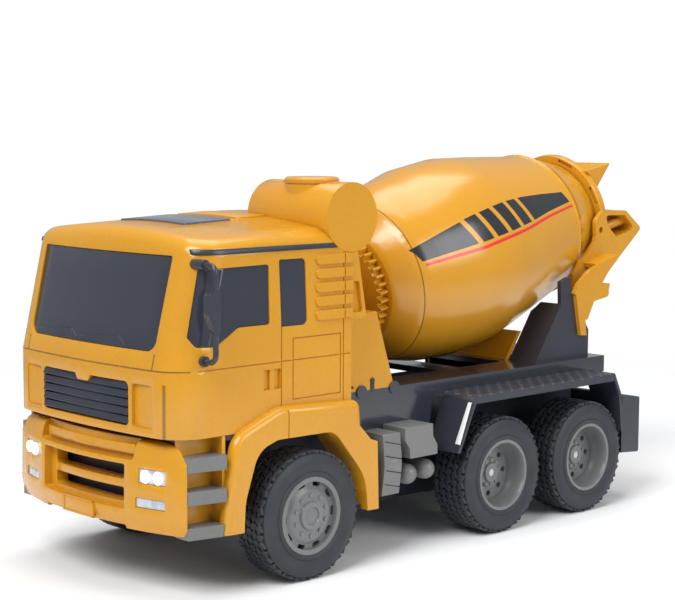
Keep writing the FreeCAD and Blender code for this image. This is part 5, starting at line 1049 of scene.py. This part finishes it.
@dataclass
class NumberPlate:
    """Bare plate on the bumper's lower edge: a field within a raised rim."""

    palette: Palette
    half: float = 9.2 * MM
    middle_z: float = 27.6 * MM
    height: float = 6.0 * MM
    rim: float = 0.6 * MM

    def build(self) -> None:
        """Build the field and the four sides of the rim."""
        low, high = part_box("bumper")
        centre = Vector(((low[0] + high[0]) / 2, low[1] + 0.35 * MM, self.middle_z))
        pieces = [soft_block(centre, Vector((2 * self.half, 1.0 * MM, self.height)), 0.2 * MM)]
        front = centre - Vector((0, 0.45 * MM, 0))
        for sign in (1, -1):
            edge = Vector((0, 0, sign * (self.height / 2 - self.rim / 2)))
            pieces.append(soft_block(front + edge, Vector((2 * self.half, self.rim, self.rim)), 0.15 * MM))
            side = Vector((sign * (self.half - self.rim / 2), 0, 0))
            pieces.append(soft_block(front + side, Vector((self.rim, self.rim, self.height)), 0.15 * MM))
        add_piece(join(pieces, "number_plate"), "chassis", self.palette["shell_yellow"])


@dataclass
class Latches:
    """Knobs and hooks on the edges of the deck's front end, behind the cab."""

    palette: Palette
    inset: float = 1.2 * MM
    width: float = 2.2 * MM

    def build(self) -> None:
        """Build a knob with its hook and a pin with its tab on each edge."""
        low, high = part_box("deck")
        pieces = []
        for x in (high[0] - self.inset, low[0] + self.inset):
            corner = Vector((x, low[1], high[2]))
            pieces += [self.knob(corner, 2.0 * MM, 1.0 * MM, 1.3 * MM),
                       self.knob(corner, 15 * MM, 1.3 * MM, 1.1 * MM),
                       self.tab(corner, 2.6 * MM, -0.4 * MM, Vector((2.0, 4.6, 1.0)) * MM),
                       self.tab(corner, 15 * MM, -1.2 * MM, Vector((1.6, 2.0, 4.0)) * MM)]
        add_piece(join(pieces, "cab_latches"), "chassis", self.palette["trim_dark"])

    def knob(self, corner: Vector, back: float, up: float, radius: float) -> bpy.types.Object:
        """A round knob that lies across the deck's edge.

        Args:
            corner: the deck's front upper corner.
            back: its distance behind the corner.
            up: its height over the deck.
            radius: its radius.

        Returns:
            The knob.
        """
        return soft_disc(corner + Vector((0, back, up)), radius, self.width, Axis.X, 0.5 * MM)

    def tab(self, corner: Vector, back: float, up: float, size: Vector) -> bpy.types.Object:
        """A small block on the deck's edge.

        Args:
            corner: the deck's front upper corner.
            back: its distance behind the corner.
            up: its height over the deck.
            size: its lengths.

        Returns:
            The tab.
        """
        return soft_block(corner + Vector((0, back, up)), size, 0.3 * MM)


# ---- the studio ------------------------------------------------------------------------------
@dataclass
class Studio:
    """White sweep, soft lights and the camera."""

    spot: Vector = field(default_factory=lambda: Vector((480.416, -475.2, 162.061)) * MM)
    heading: float = math.radians(46.478)
    pitch: float = math.radians(6.008)
    roll: float = math.radians(0.282)
    sensor: float = 36.0
    lens: float = 88.32288

    def floor(self) -> None:
        """A wide matte floor that fades into the white around it."""
        deselect()
        bpy.ops.mesh.primitive_circle_add(vertices=96, radius=3.0, fill_type="NGON", location=(0, 0, -0.1 * MM))
        floor = settle(bpy.context.object, "studio_floor")
        graph = Graph("floor_white")
        far = graph.add("ShaderNodeVectorMath", operation="LENGTH")
        graph.feed(far.inputs[0], graph.place)
        tone = graph.mix(graph.ramp(graph.noise(300.0), 0.3, 0.7), (0.90, 0.90, 0.90), (0.885, 0.885, 0.89))
        body = graph.add("ShaderNodeBsdfDiffuse")
        graph.feed(body.inputs[0], tone)
        clear = graph.add("ShaderNodeBsdfTransparent")
        blend = graph.add("ShaderNodeMixShader")
        graph.feed(blend.inputs[0], graph.ramp(far.outputs["Value"], 0.22, 0.55))
        graph.feed(blend.inputs[1], body.outputs[0])
        graph.feed(blend.inputs[2], clear.outputs[0])
        graph.feed(graph.add("ShaderNodeOutputMaterial").inputs[0], blend.outputs[0])
        floor.data.materials.append(graph.material)

    def world(self) -> None:
        """White surroundings: pure to the camera, softly graded as light."""
        world = bpy.data.worlds.new("studio")
        bpy.context.scene.world = world
        world.use_nodes = True
        tree = world.node_tree
        tree.nodes.clear()
        light = tree.nodes.new("ShaderNodeBackground")
        light.inputs[0].default_value = (0.93, 0.96, 1.0, 1.0)
        light.inputs[1].default_value = 0.42
        seen = tree.nodes.new("ShaderNodeBackground")
        seen.inputs[0].default_value = (1.0, 1.0, 1.0, 1.0)
        seen.inputs[1].default_value = 1.0
        path = tree.nodes.new("ShaderNodeLightPath")
        mix = tree.nodes.new("ShaderNodeMixShader")
        out = tree.nodes.new("ShaderNodeOutputWorld")
        tree.links.new(path.outputs["Is Camera Ray"], mix.inputs[0])
        tree.links.new(light.outputs[0], mix.inputs[1])
        tree.links.new(seen.outputs[0], mix.inputs[2])
        tree.links.new(mix.outputs[0], out.inputs[0])

    def area(self, name: str, spot: Vector, aim: Vector, size: float, power: float) -> None:
        """A soft square light.

        Args:
            name: its name.
            spot: its place.
            aim: the point it faces.
            size: its side.
            power: its power in watts.
        """
        data = bpy.data.lights.new(name, "AREA")
        data.size, data.energy = size, power
        lamp = bpy.data.objects.new(name, data)
        bpy.context.collection.objects.link(lamp)
        turn = (aim - spot).to_track_quat("-Z", "Y").to_matrix()
        lamp.matrix_world = Matrix.Translation(spot) @ turn.to_4x4()

    def camera(self) -> None:
        """The camera, set by its heading, pitch and roll."""
        a, e, g = self.heading, self.pitch, self.roll
        back = Vector((math.sin(a) * math.cos(e), -math.cos(a) * math.cos(e), math.sin(e)))
        right = Vector((math.cos(a), math.sin(a), 0.0))
        up = back.cross(right)
        across = math.cos(g) * right + math.sin(g) * up
        upward = -math.sin(g) * right + math.cos(g) * up
        turn = Matrix((across, upward, back)).transposed().to_4x4()
        data = bpy.data.cameras.new("camera")
        data.sensor_width, data.lens, data.clip_start = self.sensor, self.lens, 0.01
        camera = bpy.data.objects.new("camera", data)
        bpy.context.collection.objects.link(camera)
        camera.matrix_world = Matrix.Translation(self.spot) @ turn
        bpy.context.scene.camera = camera

    def build(self) -> None:
        """Set everything up."""
        self.floor()
        self.world()
        middle = Vector((0, 0, 70)) * MM
        self.area("key", Vector((0.25, -0.75, 0.85)), middle, size=0.50, power=8.6)
        self.area("side", Vector((0.95, 0.25, 0.55)), middle, size=0.60, power=4.6)
        self.area("top", Vector((-0.15, 0.15, 1.05)), middle, size=0.80, power=5.6)
        self.camera()
        bpy.context.scene.view_settings.view_transform = "Standard"
        LOG.info("studio ready")


def main() -> None:
    """Dress the frame, add the modelled pieces and set up the studio."""
    joints = {joint["name"]: joint for joint in frame["record"]["behaviour"]["joints"]}
    low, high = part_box("windscreen")
    palette = Palette(joints["drum_spin"], (low[0] + high[0]) / 2)
    for assembly in (Dresser, Wheels, Wipers, Lamps, GuardGlints, NumberPlate, Latches):
        assembly(palette).build()
    Studio().build()


if __name__ == "__main__":
    main()
